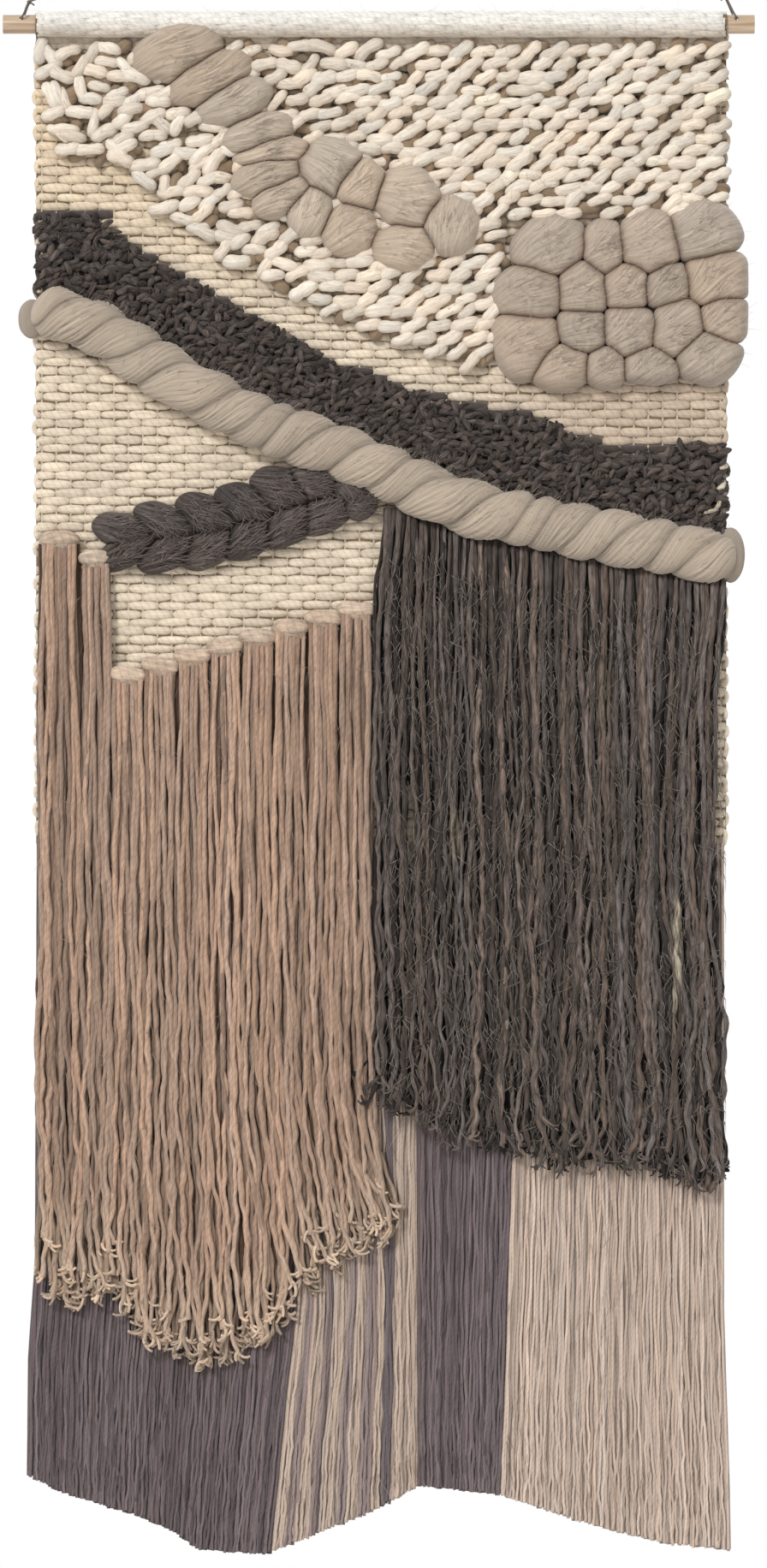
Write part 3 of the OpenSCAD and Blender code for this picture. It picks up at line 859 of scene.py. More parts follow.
def tufts(name, slot, own, others, node_name, colour, seed, crease, relief_size, contrast, dark, edge,
          strays, proud=17.0, coarse=9.0, lay=None, spread=0.05, base=PILE_Y, felt=0.3, fluff=0.2,
          fence=None):
    """Tufts of roving that press against their neighbours, so that creases run between them.

    Their tops stand proud of the depth base, and the creases are crease in front of it and painted darker by
    dark, as shade.
    edge is how far a tuft with no neighbour swells past its ellipse, and felt how matted it is.
    relief_size is how high the lay of fibres stands, coarse its longest wave and contrast how much lighter
    its ridges and darker its grooves are painted, as light and shade.
    lay is the angle of the fibres in degrees; without one, each tuft has an angle of its own.
    fence is a rounded box that none of the tufts swells out of, and fluff the strays' thickness, which also
    sets how much lighter they are painted as highlight.
    """
    rng = np.random.default_rng(seed)
    shape = Shape()
    angle = np.arange(150) * TURN / 150
    way = np.stack([np.cos(angle), -np.sin(angle)], 1)
    rho = np.concatenate([np.linspace(0.02, 0.9, 21), [0.94, 0.965, 0.985, 0.996, 1.0, 1.0]])[:, None]
    for k, tuft in enumerate(own):
        cx, cz, long, _, tilt = tuft
        reach, shared = tuft_reach(tuft, own + others, way, 0.7, edge)
        if fence:
            reach = np.minimum(reach, fence_reach(tuft, way, fence))
        reach, shared = rolling_mean(reach, 1 + 2 * bool(fence)), rolling_mean(shared, 4)
        x = cx + rho * reach * way[:, 0]
        z = cz + rho * reach * way[:, 1]
        top = base - proud * rng.uniform(0.86, 1.04)
        lean = rng.uniform(-2.0, 2.0, 2)
        rim = base - crease + (FRONT_Y - 0.5 - base + crease) * (1 - rolling_mean(shared, 5))
        dome = (1 - rho ** 3.8) ** 0.55
        turn = math.radians(tilt + rng.uniform(-8, 8) if lay is None else lay + rng.uniform(-12, 12))
        run, cross = turned_axes(x - cx, z - cz, turn)
        fan = cross / (1 + 0.35 * run / long) + 2.2 * np.sin(run / 13 + k)
        relief = fibres(run, fan, seed * 50 + k, coarsest=coarse, finest=1.6, count=8)
        matted = fibres(fan, run + 3 * np.sin(fan / 5), seed * 50 + k + 25, coarsest=9, finest=2.0)
        relief = relief * (1 - felt) + matted * felt
        swirl = np.sin(x / 9.1 + k) * np.sin(z / 8.3 + 2 * k)
        y = rim + (top - rim) * dome + dome * (lean[0] * (x - cx) + lean[1] * (z - cz)) / long
        y = y - dome ** 0.5 * (relief_size * relief + 0.7 * swirl)
        # The last ring goes back to the cloth
        y[-1] = FRONT_Y - 0.5
        # Painted shade: darker in the creases between tufts.
        crease_tone = (1 - dark * rho ** 11 * (0.3 + 0.7 * shared))[..., None] ** CREASE_SHADE_TINT
        # Painted light and shade: each tuft darker towards its edge, its raised fibres lighter and the
        # grooves between them darker.
        tone = crease_tone * ((1 - 0.12 * rho ** 4) * (1 + contrast * relief))[..., None]
        yarn = np.stack([run * MM, fan * MM, 0 * run + k], 2)
        shade = varied(rng, colour, 1, spread)[:, None, None]
        shape.skins(np.stack([x, y, z], 2)[None], np.clip(shade * tone[None], 0.004, 1), yarn[None])
        ring = rng.integers(3, 19, strays)
        pick = rng.integers(0, len(angle), strays)
        roots = np.stack([x[ring, pick], y[ring, pick], z[ring, pick]], 1)
        heading = flat_way(turn + rng.normal(0, 0.4, strays))
        # Painted highlight: the strays are lighter than their tuft, more so the thicker they are.
        hairs(shape, rng, roots, heading, length=17, thick=fluff,
              dye=varied(rng, colour * (0.6 + fluff * 4), strays, 0.25), lift=1.4)
    made = shape.piece(name, slot, "weaving", node_name)
    return made


woven.append(tufts("roving_sheaves", "beige_roving", LOBES, PUFFS, "roving_lobes", LOBE_BEIGE, seed=41,
                   crease=7.0, relief_size=1.5, contrast=0.2, strays=80, edge=1.16, felt=0.1, dark=0.6))
woven.append(tufts("roving_puff_cluster", "beige_roving", PUFFS, LOBES, "roving_puffs", LOBE_BEIGE, seed=51,
                   crease=6.0, relief_size=1.0, contrast=0.13, coarse=12, strays=60, edge=1.16, dark=0.6))
PATCH_FENCE = (243, -272, 131, 104)  # middle and half sizes
for number, row in enumerate(PUFF_ROWS, 1):
    neighbours = [puff for puff in PATCH if puff not in row]
    woven.append(tufts(f"roving_puffs_{number}", "beige_roving", row, neighbours, f"puff_row_{number}",
                       PUFF_BEIGE, seed=60 + number, proud=14.0, crease=5.0, relief_size=1.0, lay=30,
                       contrast=0.2, strays=60, edge=1.3, felt=0.35, dark=0.72, spread=0.035,
                       fence=PATCH_FENCE))

ROVING_ROUTE = [
    (-334, -290), (-285, -308), (-230, -343), (-170, -380), (-110, -408), (-45, -431), (20, -460),
    (85, -487), (150, -503), (215, -515), (280, -528), (341, -537)]
# Where it turns round the edges of the cloth
ROVING_START, ROVING_END = (-350, -2, -287), (361, -1, -543)
ROVING_R = 28.0
ROVING_Y = FRONT_Y - 0.45 * ROVING_R
ROVING_PITCH = 41.0


def wrapped_end(shape, x, z, half, colour, seed):
    """Where the roving goes round an edge of the cloth to the back."""
    t = np.sin(np.linspace(-0.99, 0.99, 26) * math.pi / 2)
    size = np.sqrt(1 - t ** 2) * (1 + 0.05 * fibres(40 * t, 0 * t + 3, seed))
    path = np.stack([x + 0 * t, 2.5 + 0 * t, z - half * t], 1)
    shape.tube(path, 14.5 * size, 10.5 * size, colour[None], sides=40)


def twisted_roving():
    """Thick roving with a steep twist, flattened on the cloth, which wraps round both edges."""
    rng = np.random.default_rng(71)
    front = [(x, ROVING_Y, z) for x, z in ROVING_ROUTE[1:-1]]
    line = smooth_line([ROVING_START, *front, ROVING_END], 640)
    far = distance_along(line)
    along = unit(np.gradient(line, axis=0))
    side = unit(np.stack([-along[:, 2], 0 * far, along[:, 0]], 1))
    face = np.cross(along, side)
    angle = np.arange(128) * TURN / 128
    wander = 0.7 * np.sin(far / 47) + 0.5 * np.sin(far / 23 + 1) + 0.25 * np.sin(far / 11)
    # Each half turn of this angle crosses one of the two plies
    turned = angle[None] + (math.pi * far / ROVING_PITCH + wander)[:, None] + 0.6
    ply = np.abs(np.cos(turned)) ** 0.7
    number = np.floor(turned / math.pi + 0.5).astype(int)
    random_tone = rng.normal(0, 0.06, 80)[number % 80]
    random_size = rng.normal(0, 0.05, 80)[(number + 7) % 80]
    taper = np.clip(np.minimum(far, far[-1] - far) / 24, 0.02, 1)
    taper = np.sqrt(1 - (1 - taper) ** 2) ** 0.8
    across = ROVING_R * turned + 3 * np.sin(far / 17)[:, None]
    relief = fibres(far[:, None] + 0 * across, across, 72, coarsest=13, finest=1.7, count=9)
    size = ROVING_R * taper[:, None] * (0.79 + (0.22 + random_size) * ply + 0.075 * relief)
    rings = (line[:, None] + side[:, None] * (size * np.cos(angle))[..., None]
             + face[:, None] * (0.8 * size * np.sin(angle))[..., None])
    rings[..., 1] = np.minimum(rings[..., 1], FRONT_Y - 0.2)
    # Painted light and shade: darker in the groove between the plies, lighter on the raised fibres;
    # random_tone is the roving's own variation.
    tone = (0.6 + 0.4 * np.clip(ply * 1.7, 0, 1)) * (1 + random_tone) + 0.24 * relief
    yarn = np.stack([far[:, None] * MM + 0 * across, across * MM, 0 * across], 2)
    shape = Shape()
    shape.skins(rings[None], np.clip(ROVING_BEIGE * tone[None, ..., None], 0.01, 1), yarn[None])
    wrapped_end(shape, x=-350.5, z=-298, half=20, colour=ROVING_BEIGE * 0.92, seed=3)
    wrapped_end(shape, x=356, z=-537, half=28, colour=ROVING_BEIGE * 0.95, seed=4)
    count = 700
    pick = rng.integers(25, len(line) - 25, count)
    corner = rng.integers(2, 62, count)
    roots = rings[pick, corner]
    heading = flat_way(math.radians(35) + rng.normal(0, 0.4, count))
    hairs(shape, rng, roots, heading, length=18, thick=0.2,
          dye=varied(rng, ROVING_BEIGE * 1.12, count, 0.16), lift=1.4)
    made = shape.piece("twisted_roving_plies", "beige_roving", "weaving", "twisted_roving")
    return made


BRAID = [
    (-259, -512, 31, 17, -14), (-217, -504, 32, 18, -22), (-176, -496, 32, 19, -26),
    (-136, -486, 31, 20, -26), (-100, -470, 31, 22, -12), (-64, -463, 30, 19, -8),
    (-32, -471, 24, 17, -38), (-256, -533, 31, 16, 28), (-214, -535, 32, 17, 22),
    (-172, -530, 32, 18, 26), (-132, -521, 31, 18, 28), (-92, -508, 31, 18, 30),
    (-54, -496, 29, 18, 26), (-20, -487, 19, 14, 14)]

woven.append(twisted_roving())
woven.append(tufts("grey_braid_plies", "grey_roving", BRAID, [], "grey_braid", BRAID_GREY, seed=81,
                   proud=19.0, crease=9.0, relief_size=3.0, contrast=0.75, spread=0.15, strays=130,
                   base=FRONT_Y, dark=0.9, edge=1.05, felt=0.2, fluff=0.62))

# ---------------------------------------------------------------- charcoal band

BAND_LAYERS = ((4.6, 8.8, 6.4), (1.6, 9.2, 6.6))  # depth, and pitch along a row and between rows
BAND_RISE = 2.8


def charcoal_band():
    """Short lengths of dark yarn over the plain weave, inside its charcoal bricks."""
    rng = np.random.default_rng(91)
    made = []
    for layer, (y, pitch_x, pitch_z) in enumerate(BAND_LAYERS):
        shape = Shape()
        x, z = brick_grid(LEFT + 3, -190, pitch_x, pitch_z, rows=60, columns=84)
        x = x + rng.normal(0, 2.0, len(x))
        z = z + rng.normal(0, 1.6, len(x))
        keep = inside(x - 4, z + 5, BAND_OUTLINE) & inside(x + 6, z + 4, BAND_OUTLINE) | (x > 300)
        keep &= inside(x, z + 4, BAND_OUTLINE) & (z > level_at(x, ROVING_ROUTE) - 6)
        keep &= (x < RIGHT - 4) & (x > LEFT + 4)
        x, z = x[keep], z[keep]
        count = len(x)
        slant = np.radians(rng.normal(15, 42, count))
        half = rng.uniform(4.5, 9.5, count)[:, None]
        t = np.array([-1.0, -0.93, -0.6, 0, 0.6, 0.93, 1.0])
        bow = rng.normal(0, 2.2, count)[:, None] * (1 - t ** 2)
        depth = y - BAND_RISE * (1 - t ** 2) + rng.normal(0, 0.9, count)[:, None]
        path = short_yarns(x, depth, z, slant, half * t, bow)
        wide = rng.uniform(2.2, 3.7, count)[:, None] * np.maximum(1 - np.abs(t) ** 3, 0.05) ** 0.5
        wide = wide * (1 + 0.12 * np.sin(5 * t + rng.uniform(0, TURN, (count, 1))))
        # Painted shade: the back layer is darker than the front one.
        dye = varied(rng, CHARCOAL * (0.8 + 0.3 * layer), count, 0.3, 0.03)
        if layer:
            # A few ends of the cream cloth come through at the right edge
            fleck = (rng.random(count) < 0.1) & (x > 332)
            dye[fleck] = CREAM
        # Painted shade: each short yarn darkens towards its ends, where it goes into the cloth.
        shape.tubes(path, wide, wide * 0.85, dye[:, None] * (1 - 0.4 * np.abs(t) ** 2)[None, :, None],
                    sides=6, start=rng.uniform(0, 1, count))
        strays = 1300
        spot = rng.integers(0, count, strays)
        roots = path[spot, 3] - (0, BAND_RISE, 0) + rng.normal(0, 2, (strays, 3)) * (1, 0.1, 1)
        heading = flat_way(slant[spot] + rng.normal(0, 0.8, strays))
        # Painted highlight: the loose hairs are much lighter than the charcoal yarn.
        hairs(shape, rng, roots, heading, length=9, thick=0.28,
              dye=varied(rng, CHARCOAL * 2.6, strays, 0.4), lift=1.2, edge=4)
        made.append(shape.piece(f"charcoal_pile_{layer + 1}", "charcoal_yarn", "weaving"))
    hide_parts("charcoal_band")
    return made


woven.extend(charcoal_band())

# ---------------------------------------------------------------- over-fringes

BROWN_TIPS = [(-345, -1262), (-318, -1300), (-262, -1276), (-240, -1326), (-175, -1356),
              (-108, -1326), (-75, -1262), (0, -1226), (24, -1200)]
CHARCOAL_TIPS = [(5, -1084), (45, -1112), (110, -1132), (200, -1156), (260, -1152), (338, -1174)]
FIRST_PULLED = 4  # the first brown tassel that leans to the right on its way down
SECOND_KNOT_RISE = 15  # its knot is under the end of the braid, over the CAD's block for it
LAST_KNOT_WIDE = 32.7
BROWN_COUNT = sum(name.startswith("brown_tassel_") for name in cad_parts)
CHARCOAL_COUNT = sum(name.startswith("charcoal_tassel_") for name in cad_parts)


def hang_tassel(shape, name, slot, node_name):
    """Makes the tassel's piece where it hangs, on no body, and hides the CAD node it replaces.
    """
    piece = shape.piece(name, slot, None)
    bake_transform(piece)
    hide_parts(node_name)


def waves(rng, far, parts):
    """Sideways waves of yarns, far along them: parts are the shortest and longest wave and its size."""
    total = np.zeros(far.shape)
    for shortest, longest, size in parts:
        long = rng.uniform(shortest, longest, (len(far), 1))
        total += size * np.sin(TURN * far / long + rng.uniform(0, TURN, (len(far), 1)))
    return total


STRAND_STEPS = np.linspace(0, 1, 92) ** 0.82  # a yarn's rings, closer together towards its tip


def strands(shape, rng, x, y, top, tip, dye, radius, sway, curl, pull, uneven, tuck=0.0,
            curl_from=55.0, drift=0.0, waist=0.0):
    """Hanging yarns from top to tip, which wave a little and curl at their tips. Returns the ends.

    pull moves them sideways by height, waist draws them together under the knot, and drift bends
    their tips one way. tuck starts them further back, under what covers their tops.
    """
    count = len(x)
    drop = (top - tip)[:, None]
    t = STRAND_STEPS
    z = top[:, None] - drop * t
    growing = np.clip(drop * t / 650, 0.2, 1)
    wave = waves(rng, drop * t, ((260, 420, 1.1), (120, 220, 0.9 * growing), (50, 100, 0.6 * growing),
                                 (22, 40, 0.4 * growing)))
    start = np.clip(drop * t / 70, 0, 1)
    tail = np.clip(1 - (1 - t) * drop / curl_from, 0, 1) ** 2
    bend = rng.normal(0, 1, (count, 1)) * curl + drift
    gather = 1 - waist * np.exp(-(drop * t / 220) ** 2)
    middle = (x.min() + x.max()) / 2
    px = middle + (x[:, None] - middle) * gather + sway * wave * start + bend * tail
    if pull is not None:
        px = px + pull(z) * start
    px = np.clip(px, LEFT + 3, RIGHT - 2)
    py = y[:, None] + 0.5 * sway * np.roll(wave, 3, axis=1) * start + tuck * np.exp(-drop * t / 10)
    py = py - np.abs(rng.normal(0, 2.2, (count, 1))) * tail
    pz = z + np.abs(bend) * 0.35 * tail
    path = np.stack([px, py, pz], 2)
    size = radius[:, None] * (1 + uneven * np.sin(TURN * drop * t / rng.uniform(26, 60, (count, 1))
                                                  + rng.uniform(0, TURN, (count, 1))))
    size = size * (1 - 0.2 * tail)
    shape.tubes(path, size, size, dye(px, pz) if callable(dye) else dye, sides=6,
                start=rng.uniform(0, 1, count))
    return path[:, -1], unit(path[:, -1] - path[:, -5])


def frayed(shape, rng, ends, heading, dye, plies, length, thick, open_up, hooked=1.7):
    """Each end opens into plies that spread and curl to one side, through about hooked radians."""
    count = len(ends) * plies
    roots = np.repeat(ends, plies, axis=0) - np.repeat(heading, plies, axis=0) * 5
    way = unit(np.repeat(heading, plies, axis=0) + rng.normal(0, open_up, (count, 3)) * (1, 0.25, 0.6))
    t = np.linspace(0, 1, 9)[None, :, None]
    long = rng.uniform(0.35, 1.0, (count, 1, 1)) * length
    hook = np.repeat(rng.choice([-1.0, 1.0], (len(ends), 1, 1)), plies, axis=0) * hooked
    hook = hook * rng.uniform(0.4, 1.3, (count, 1, 1))
    across = unit(np.cross(way, rng.normal(0, 0.25, (count, 3)) + (0, 1, 0)))[:, None]
    path = roots[:, None] + long / hook * (way[:, None] * np.sin(hook * t) + across * (1 - np.cos(hook * t)))
    path[..., 0] = np.clip(path[..., 0], LEFT + 1, RIGHT + 1)
    path[..., 1] = np.clip(path[..., 1], None, WALL_Y - 1)
    size = thick * rng.uniform(0.7, 1.1, (count, 1)) * (1 - 0.25 * t[..., 0])
    shape.tubes(path, size, size, np.repeat(dye, plies, axis=0), sides=6, start=rng.uniform(0, 1, count))


def brown_pull(z):
    """How far the curtain's right edge has moved right of its knots at each height."""
    return np.interp(-z, [1040, 1092, 1200, 1300], [0, 2, 20, 24])


def brown_pulled(x):
    """How much of that pull each yarn takes: none left of tassel 4, and all at the right edge."""
    first, last = knot_place(FIRST_PULLED)[0], knot_place(BROWN_COUNT)[1]
    return np.clip((x - first) / (last - first), 0, 1)[:, None]


def knot_place(number):
    """Left, right, bottom and top of one brown knot, which stands on the head of its tassel."""
    low, high = span(f"brown_tassel_{number}")
    left, right = low[0], high[0]
    if number == BROWN_COUNT:
        right = left + LAST_KNOT_WIDE
    head = high[2] + (SECOND_KNOT_RISE if number == 2 else 0)
    return left, right, head + 0.3, head + 17.3


def brown_knots():
    """Lark's-head knots: a bow of yarns lies across the two legs of each tassel."""
    rng = np.random.default_rng(111)
    shape = Shape()
    for number in range(1, BROWN_COUNT + 1):
        left, right, bottom, top = knot_place(number)
        middle = (left + right) / 2
        half = (right - left) / 2 - (4.5 if number == 1 else 0.4)
        t = np.linspace(-1, 1, 19)
        # The bow of the knot, and a smaller fold under it
        for fold, z, size, y in ((0, top - 7.0, 7.4, -1.6), (1, bottom + 2.4, 3.6, -2.0)):
            tilt = rng.normal(0, 1.0)
            path = np.stack([middle + (half - 1.5 * fold) * np.sin(t * 1.5) / math.sin(1.5),
                             y + 6.0 * np.abs(t) ** 4 - 1.4 * (1 - t ** 2),
                             z + tilt * t + 0.8 * np.sin(3 * t + number) - (1.0 + 1.6 * fold) * t ** 2], 1)
            wide = size * (1 - 0.45 * np.abs(t) ** 4) * (1 + 0.06 * np.sin(5 * t + number))
            # Painted shade: the bow darkens towards its ends, where it goes round the back, and the fold
            # under it is darker.
            relief = 1 + 0.06 * rng.normal(0, 1, len(t))
            relief = relief * (1 - 0.4 * np.abs(t) ** 5)
            dye = varied(rng, KNOT_BROWN * (1 - 0.3 * fold), 1, 0.07) * relief[:, None]
            shape.tube(path, wide, wide * 0.8, dye, sides=16, start=rng.uniform(0, 1, 1))
        strays = 24
        roots = np.stack([rng.uniform(left, right, strays), np.full(strays, -6.0),
                          rng.uniform(bottom, top, strays)], 1)
        heading = unit(rng.normal(0, 1, (strays, 3)) * (1, 0.3, 0.6))
        hairs(shape, rng, roots, heading, length=9, thick=0.2,
              dye=varied(rng, KNOT_BROWN, strays, 0.15), lift=1.0)
    return shape.piece("brown_larks_heads", "brown_yarn", "weaving", "brown_knots")


# From the back: depth, gap between yarns, colour (the back two painted darker as shade), half thickness, and
# how ragged their ends are
BROWN_LAYERS = ((4.0, 3.6, BROWN_BACK_SHADE, 2.6, 14), (0.4, 4.3, BROWN * 0.66, 2.6, 26),
                (-3.6, 5.0, BROWN, 2.75, 46))


def brown_tassel(number):
    """Three layers of brown yarns, with the waist that their knot gives them, and loose fibres."""
    rng = np.random.default_rng(120 + number)
    name = f"brown_tassel_{number}"
    left, right, bottom, _ = knot_place(number)
    shape = Shape()
    tight = 0.24 if number == 1 else 0.17
    for layer, (y, gap, colour, size, ragged) in enumerate(BROWN_LAYERS):
        count = int((right - left) / gap) + 1
        x = np.linspace(left + 1.8, right - 1.8, count) + rng.normal(0, 0.8, count)
        pulled = brown_pulled(x)
        tip_x = x + pulled[:, 0] * brown_pull(-1200.0)
        tips = level_at(tip_x, BROWN_TIPS) + rng.uniform(-6, ragged, count)
        dye = varied(rng, colour, count, 0.18, 0.025)
        # Towards their tips the yarns fade to a paler brown, painted darker on the back layers as shade.
        fade = np.clip((STRAND_STEPS - 0.88) / 0.12, 0, 1)[None, :, None] * 0.75
        dyes = dye[:, None] * (1 - fade) + TIP_BROWN * fade * (0.55 + 0.2 * layer)
        ends, heading = strands(
            shape, rng, x, np.full(count, y), np.full(count, bottom + 5), tips, dyes,
            size * rng.uniform(0.78, 1.15, count), sway=1.1 + 0.5 * layer, curl=7.0,
            pull=lambda z, share=pulled: share * brown_pull(z), waist=tight if layer else 0.03,
            drift=1.6 * max(number - FIRST_PULLED, 0), curl_from=80.0, uneven=0.16)
        # The frayed plies are painted darker on the back layers, as shade.
        frayed(shape, rng, ends, heading, varied(rng, TIP_BROWN * (0.75 + 0.2 * layer), count, 0.1),
               plies=2, length=20, thick=1.9, open_up=0.5, hooked=1.8)
    strays = 70
    lowest = level_at((left + right) / 2, BROWN_TIPS)
    roots = np.stack([rng.uniform(left, right, strays), rng.uniform(-7.5, -5.5, strays),
                      rng.uniform(lowest, bottom, strays)], 1)
    heading = flat_way(DOWN + rng.normal(0, 0.5, strays))
    hairs(shape, rng, roots, heading, length=26, thick=0.3,
          dye=varied(rng, TIP_BROWN * 0.9, strays, 0.15), lift=1.4, edge=0)
    hang_tassel(shape, f"brown_strands_{number}", "brown_yarn", name)


def charcoal_knots():
    """A short bow of yarn over each charcoal tassel, hidden under the roving."""
    rng = np.random.default_rng(151)
    shape = Shape()
    for number in range(1, CHARCOAL_COUNT + 1):
        low, high = span(f"charcoal_tassel_{number}")
        left, right, z = low[0], high[0], high[2] + 12
        t = np.linspace(-1, 1, 13)
        path = np.stack([(left + right) / 2 + (right - left) / 2 * t, 3.0 + 2.0 * np.abs(t) ** 3,
                         z + 0.5 * np.sin(4 * t)], 1)
        wide = 3.4 * (1 - 0.3 * np.abs(t) ** 3)
        shape.tube(path, wide, wide, varied(rng, CHARCOAL_YARN, 1, 0.1), sides=10)
    return shape.piece("charcoal_larks_heads", "charcoal_yarn", "weaving", "charcoal_knots")


STREAKS = [(76, -790, -850, 8, (142, 130, 112)), (228, -640, -720, 9, (122, 110, 96)),
           (301, -870, -1020, 4, (176, 164, 146))]


def streaked(dye):
    """A few yarns of the charcoal fringe are taupe over part of their length."""
    def at(x, z):
        colour = np.broadcast_to(dye[:, None], (*x.shape, 3)).copy()
        for middle, top, bottom, half, tint in STREAKS:
            share = np.clip(2 - np.abs(x - middle) / half * 1.6, 0, 1)
            share = share * np.clip((top - z) / 25, 0, 1) * np.clip((z - bottom) / 25, 0, 1)
            colour = colour + (ink(*tint) - colour) * share[..., None]
        return colour
    return at


def charcoal_pull(number):
    """The outer tassels lean to the left on their way down."""
    if number == 1:
        return lambda z: np.interp(-z, [500, 570], [-4, -8])
    if number >= CHARCOAL_COUNT - 1:
        return lambda z: np.interp(-z, [580, 700, 880, 1010], [0, -11, -11, -3])
    return None


# From the back: depth, gap between yarns, tone and half thickness; the tone is painted light and shade, the
# back layers darker and the front one lighter.
CHARCOAL_LAYERS = ((4.2, 3.8, 0.1, 2.6), (0.6, 4.3, 0.2, 2.5), (-3.4, 5.4, 0.5, 2.6), (-7.2, 5.8, 1.22, 2.5))


def charcoal_tassel(number):
    """Four layers of hairy charcoal yarns, the back ones painted darker as shade, and many loose hairs
    painted lighter as highlight.
    """
    rng = np.random.default_rng(160 + number)
    name = f"charcoal_tassel_{number}"
    low, high = span(name)
    left, right, top = low[0], high[0], high[2] + 16
    if number == CHARCOAL_COUNT:
        right = RIGHT - 4
    shape = Shape()
    for layer, (y, gap, tone, size) in enumerate(CHARCOAL_LAYERS):
        count = int((right - left) / gap) + 1
        x = np.linspace(left + 0.8, right - 0.8, count) + rng.normal(0, 1.6, count)
        tips = level_at(x, CHARCOAL_TIPS) + rng.normal(3, 9, count) + (3 - layer) * 3
        dye = varied(rng, CHARCOAL_YARN * tone, count, 0.34, 0.05)
        ends, heading = strands(shape, rng, x, np.full(count, y), np.full(count, top), tips, streaked(dye),
                                size * rng.uniform(0.65, 1.25, count), sway=1.6 + 0.5 * layer, curl=11.0,
                                pull=charcoal_pull(number), tuck=7.0, uneven=0.24)
        frayed(shape, rng, ends, heading, dye * 1.1, plies=3, length=14, thick=1.2, open_up=0.9)
    count = 450
    share = rng.uniform(0.02, 1.0, count)
    x = rng.uniform(left - 1, right + 1, count)
    bottom = level_at(x, CHARCOAL_TIPS)
    roots = np.stack([x, rng.uniform(-11.0, -8.0, count), top - 20 - (top - 20 - bottom) * share], 1)
    heading = flat_way(DOWN + rng.normal(0, 0.45, count))
    # Painted highlight: the loose hairs are lighter than the yarns.
    mix = rng.random((count, 1)) ** 1.6
    dye = varied(rng, CHARCOAL_YARN * 1.65, count, 0.45) * (1 - mix) + HAIR_HIGHLIGHT_GREY * 1.3 * mix
    hairs(shape, rng, roots, heading, length=26, thick=0.45, dye=dye, lift=1.6, curl=0.7, edge=-3)
    hang_tassel(shape, f"charcoal_strands_{number}", "charcoal_yarn", name)


woven.append(brown_knots())
woven.append(charcoal_knots())
for number in range(1, BROWN_COUNT + 1):
    brown_tassel(number)
for number in range(1, CHARCOAL_COUNT + 1):
    charcoal_tassel(number)

# ---------------------------------------------------------------- base fringe

LEFT_EDGE = [(-346, HEM_Z), (-348, -1250), (-355, -1350), (-356, -1468)]
SEAM_DARK = [(-82, HEM_Z), (-84, -1300), (-110, -1548)]
SEAM_MIDDLE = [(38, HEM_Z), (40, -1479)]
SEAM_BEIGE = [(136, HEM_Z), (136, -1110), (123, -1488)]
RIGHT_EDGE = [(349, HEM_Z), (349, -1300), (355, -1485), (356, -1544)]
CUT_Z = -1500.0  # about where the base fringe is cut
BASE_CUT = [(-356, -1468), (-320, -1486), (-240, -1511), (-206, -1525), (-179, -1544), (-110, -1548),
            (-85, -1538), (-38, -1518), (3, -1500), (40, -1479), (123, -1488), (200, -1514),
            (250, -1528), (287, -1537), (356, -1544)]
# From the back: depth, gap between yarns, tone and half thickness; the tone is painted shade, darker towards
# the back.
BASE_LAYERS = ((12.3, 2.9, 0.6, 2.6), (10.4, 2.9, 0.86, 1.7), (8.9, 3.6, 1.05, 1.45))
# Where each colour starts, as a share of the width of the striped fringe
STRIPES = [(0.00, STRIPE_BEIGE), (0.10, STRIPE_MAUVE), (0.15, STRIPE_BEIGE), (0.24, STRIPE_MAUVE),
           (0.32, STRIPE_BEIGE), (0.44, STRIPE_MAUVE), (0.50, STRIPE_BEIGE), (0.58, STRIPE_MAUVE),
           (0.66, STRIPE_BEIGE), (0.74, MAUVE), (0.80, STRIPE_BEIGE)]


def edge_x(edge, z):
    """How far right an edge of (x, z) points is at height z."""
    return np.interp(-z, [-p[1] for p in edge], [p[0] for p in edge])


def between(left, right, z, share):
    """How far right a place is that is a share of the way from one edge to the other at height z."""
    return edge_x(left, z) + (edge_x(right, z) - edge_x(left, z)) * share


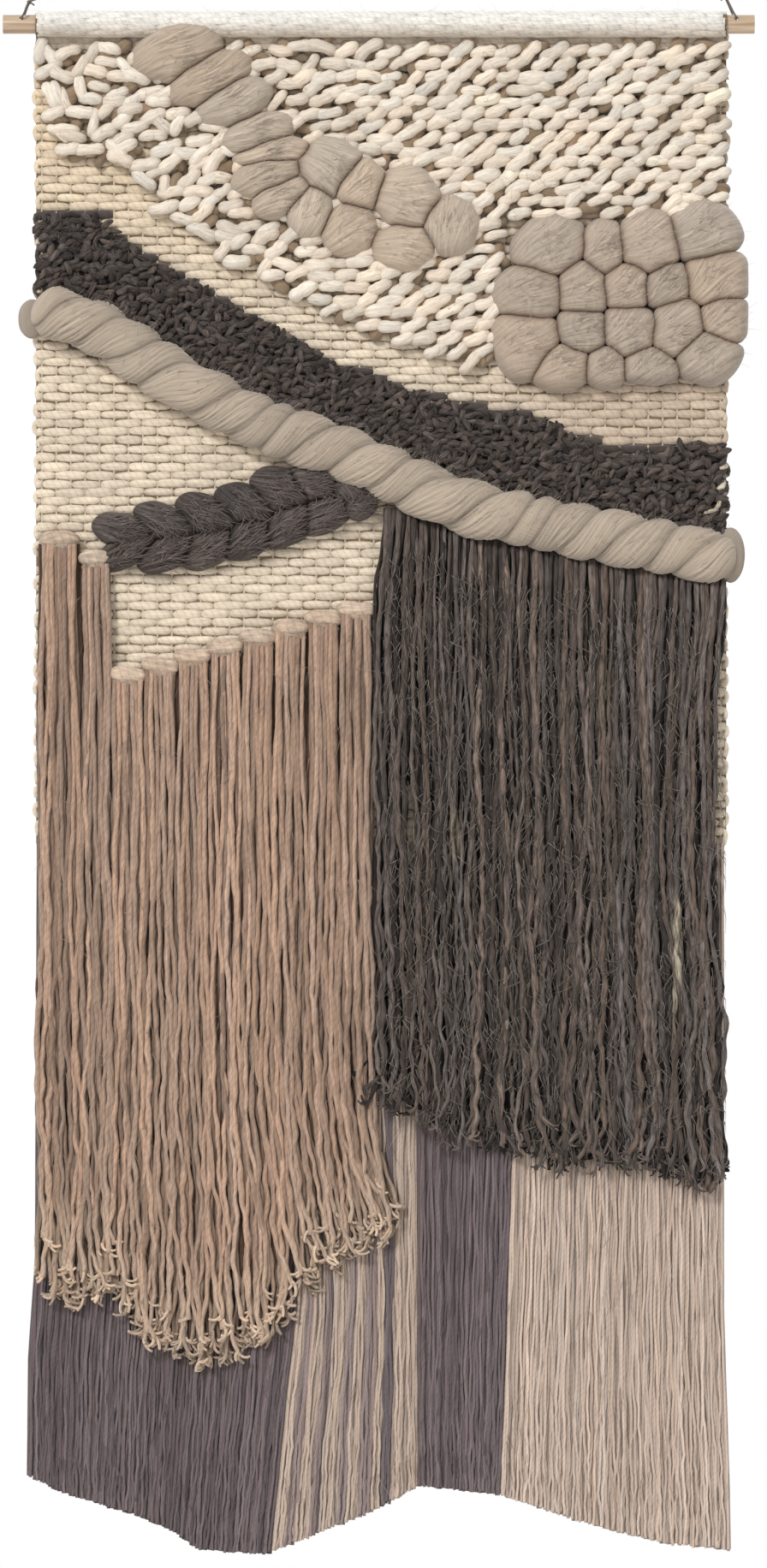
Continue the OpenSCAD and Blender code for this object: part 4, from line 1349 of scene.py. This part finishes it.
def base_fringe(name, slot, left, right, colours, seed):
    """Yarns that hang from the cloth's lower edge between two edges, all cut along one line."""
    rng = np.random.default_rng(seed)
    shape = Shape()
    width = right[0][0] - left[0][0]
    t = 1 - (1 - np.linspace(0, 1, 60)) ** 1.5
    for y, gap, tone, thick in BASE_LAYERS:
        # The back layer lies even, so that the wall doesn't show between the yarns
        count = int(width / gap)
        loose = 0.3 if y < 12 else 0.05
        share = (np.arange(count) + 0.5) / count + rng.normal(0, loose / count, count)
        share = np.clip(share, 0.3 / count, 1 - 0.3 / count)
        foot_x = between(left, right, CUT_Z, share)
        foot = level_at(foot_x, BASE_CUT) + rng.normal(0, 0.8, count)
        z = (HEM_Z + 6) + (foot[:, None] - HEM_Z - 6) * t
        low_down = np.clip((-z - 1250) / 200, 0.15, 1)
        wave = waves(rng, z, ((160, 320, 1.1), (60, 130, 0.8), (28, 50, 0.4 * low_down),
                              (16, 26, 0.4 * low_down)))
        inset = np.minimum(share, 1 - share)[:, None] * width
        x = between(left, right, z, share[:, None])
        x = x + wave * np.clip(inset / 6, 0.25, 1) * np.clip(t * 8, 0, 1) * min(loose * 3.4, 1)
        path = np.stack([x, y + 0.35 * np.roll(wave, 4, axis=1), z], 2)
        path[..., 1] = np.clip(path[..., 1], 7.2, 12.3)
        size = rng.uniform(0.85, 1.15, count)[:, None] * thick
        dye = np.clip(colours(rng, share) * tone, 0.01, 1)
        shape.tubes(path, size, size * 0.6, dye, sides=6, start=rng.uniform(0, 1, count))
    strays = int(width * 1.6)
    x = rng.uniform(left[0][0] + 3, right[0][0] - 3, strays)
    z = rng.uniform(CUT_Z, -1100, strays)
    heading = flat_way(DOWN + rng.normal(0, 0.2, strays))
    roots = np.stack([x, np.full(strays, 7.6), z], 1)
    roots[:, 2] = np.maximum(z, level_at(x, BASE_CUT) + 34)
    dye = colours(rng, (x - left[0][0]) / width) * rng.uniform(0.9, 1.4, (strays, 1))
    hairs(shape, rng, roots, heading, length=30, thick=0.3, dye=np.clip(dye, 0, 1), lift=0.9, curl=0.35)
    return shape.piece("fringe_" + name, slot, "weaving", "base_fringe_" + name)


def plain(colour, spread=0.2):
    """A dyer of yarns in one colour."""
    return lambda rng, share: varied(rng, colour, len(share), spread, 0.02)


def striped(rng, share):
    """Groups of beige and mauve yarns side by side."""
    starts = np.array([s for s, _ in STRIPES])
    group = np.clip(np.searchsorted(starts, share, side="right") - 1, 0, len(STRIPES) - 1)
    colours = np.array([c for _, c in STRIPES])[group]
    return colours * varied(rng, np.ones(3), len(share), 0.1)


BASE_FRINGES = [
    ("dark_left", "mauve_yarn", LEFT_EDGE, SEAM_DARK, plain(MAUVE)),
    ("striped", "striped_yarn", SEAM_DARK, SEAM_MIDDLE, striped),
    ("dark_middle", "mauve_yarn", SEAM_MIDDLE, SEAM_BEIGE, plain(MAUVE * 1.13)),
    ("beige", "beige_yarn", SEAM_BEIGE, RIGHT_EDGE, plain(BASE_BEIGE, 0.12))]
for seed, fringe in enumerate(BASE_FRINGES, 201):
    woven.append(base_fringe(*fringe, seed))
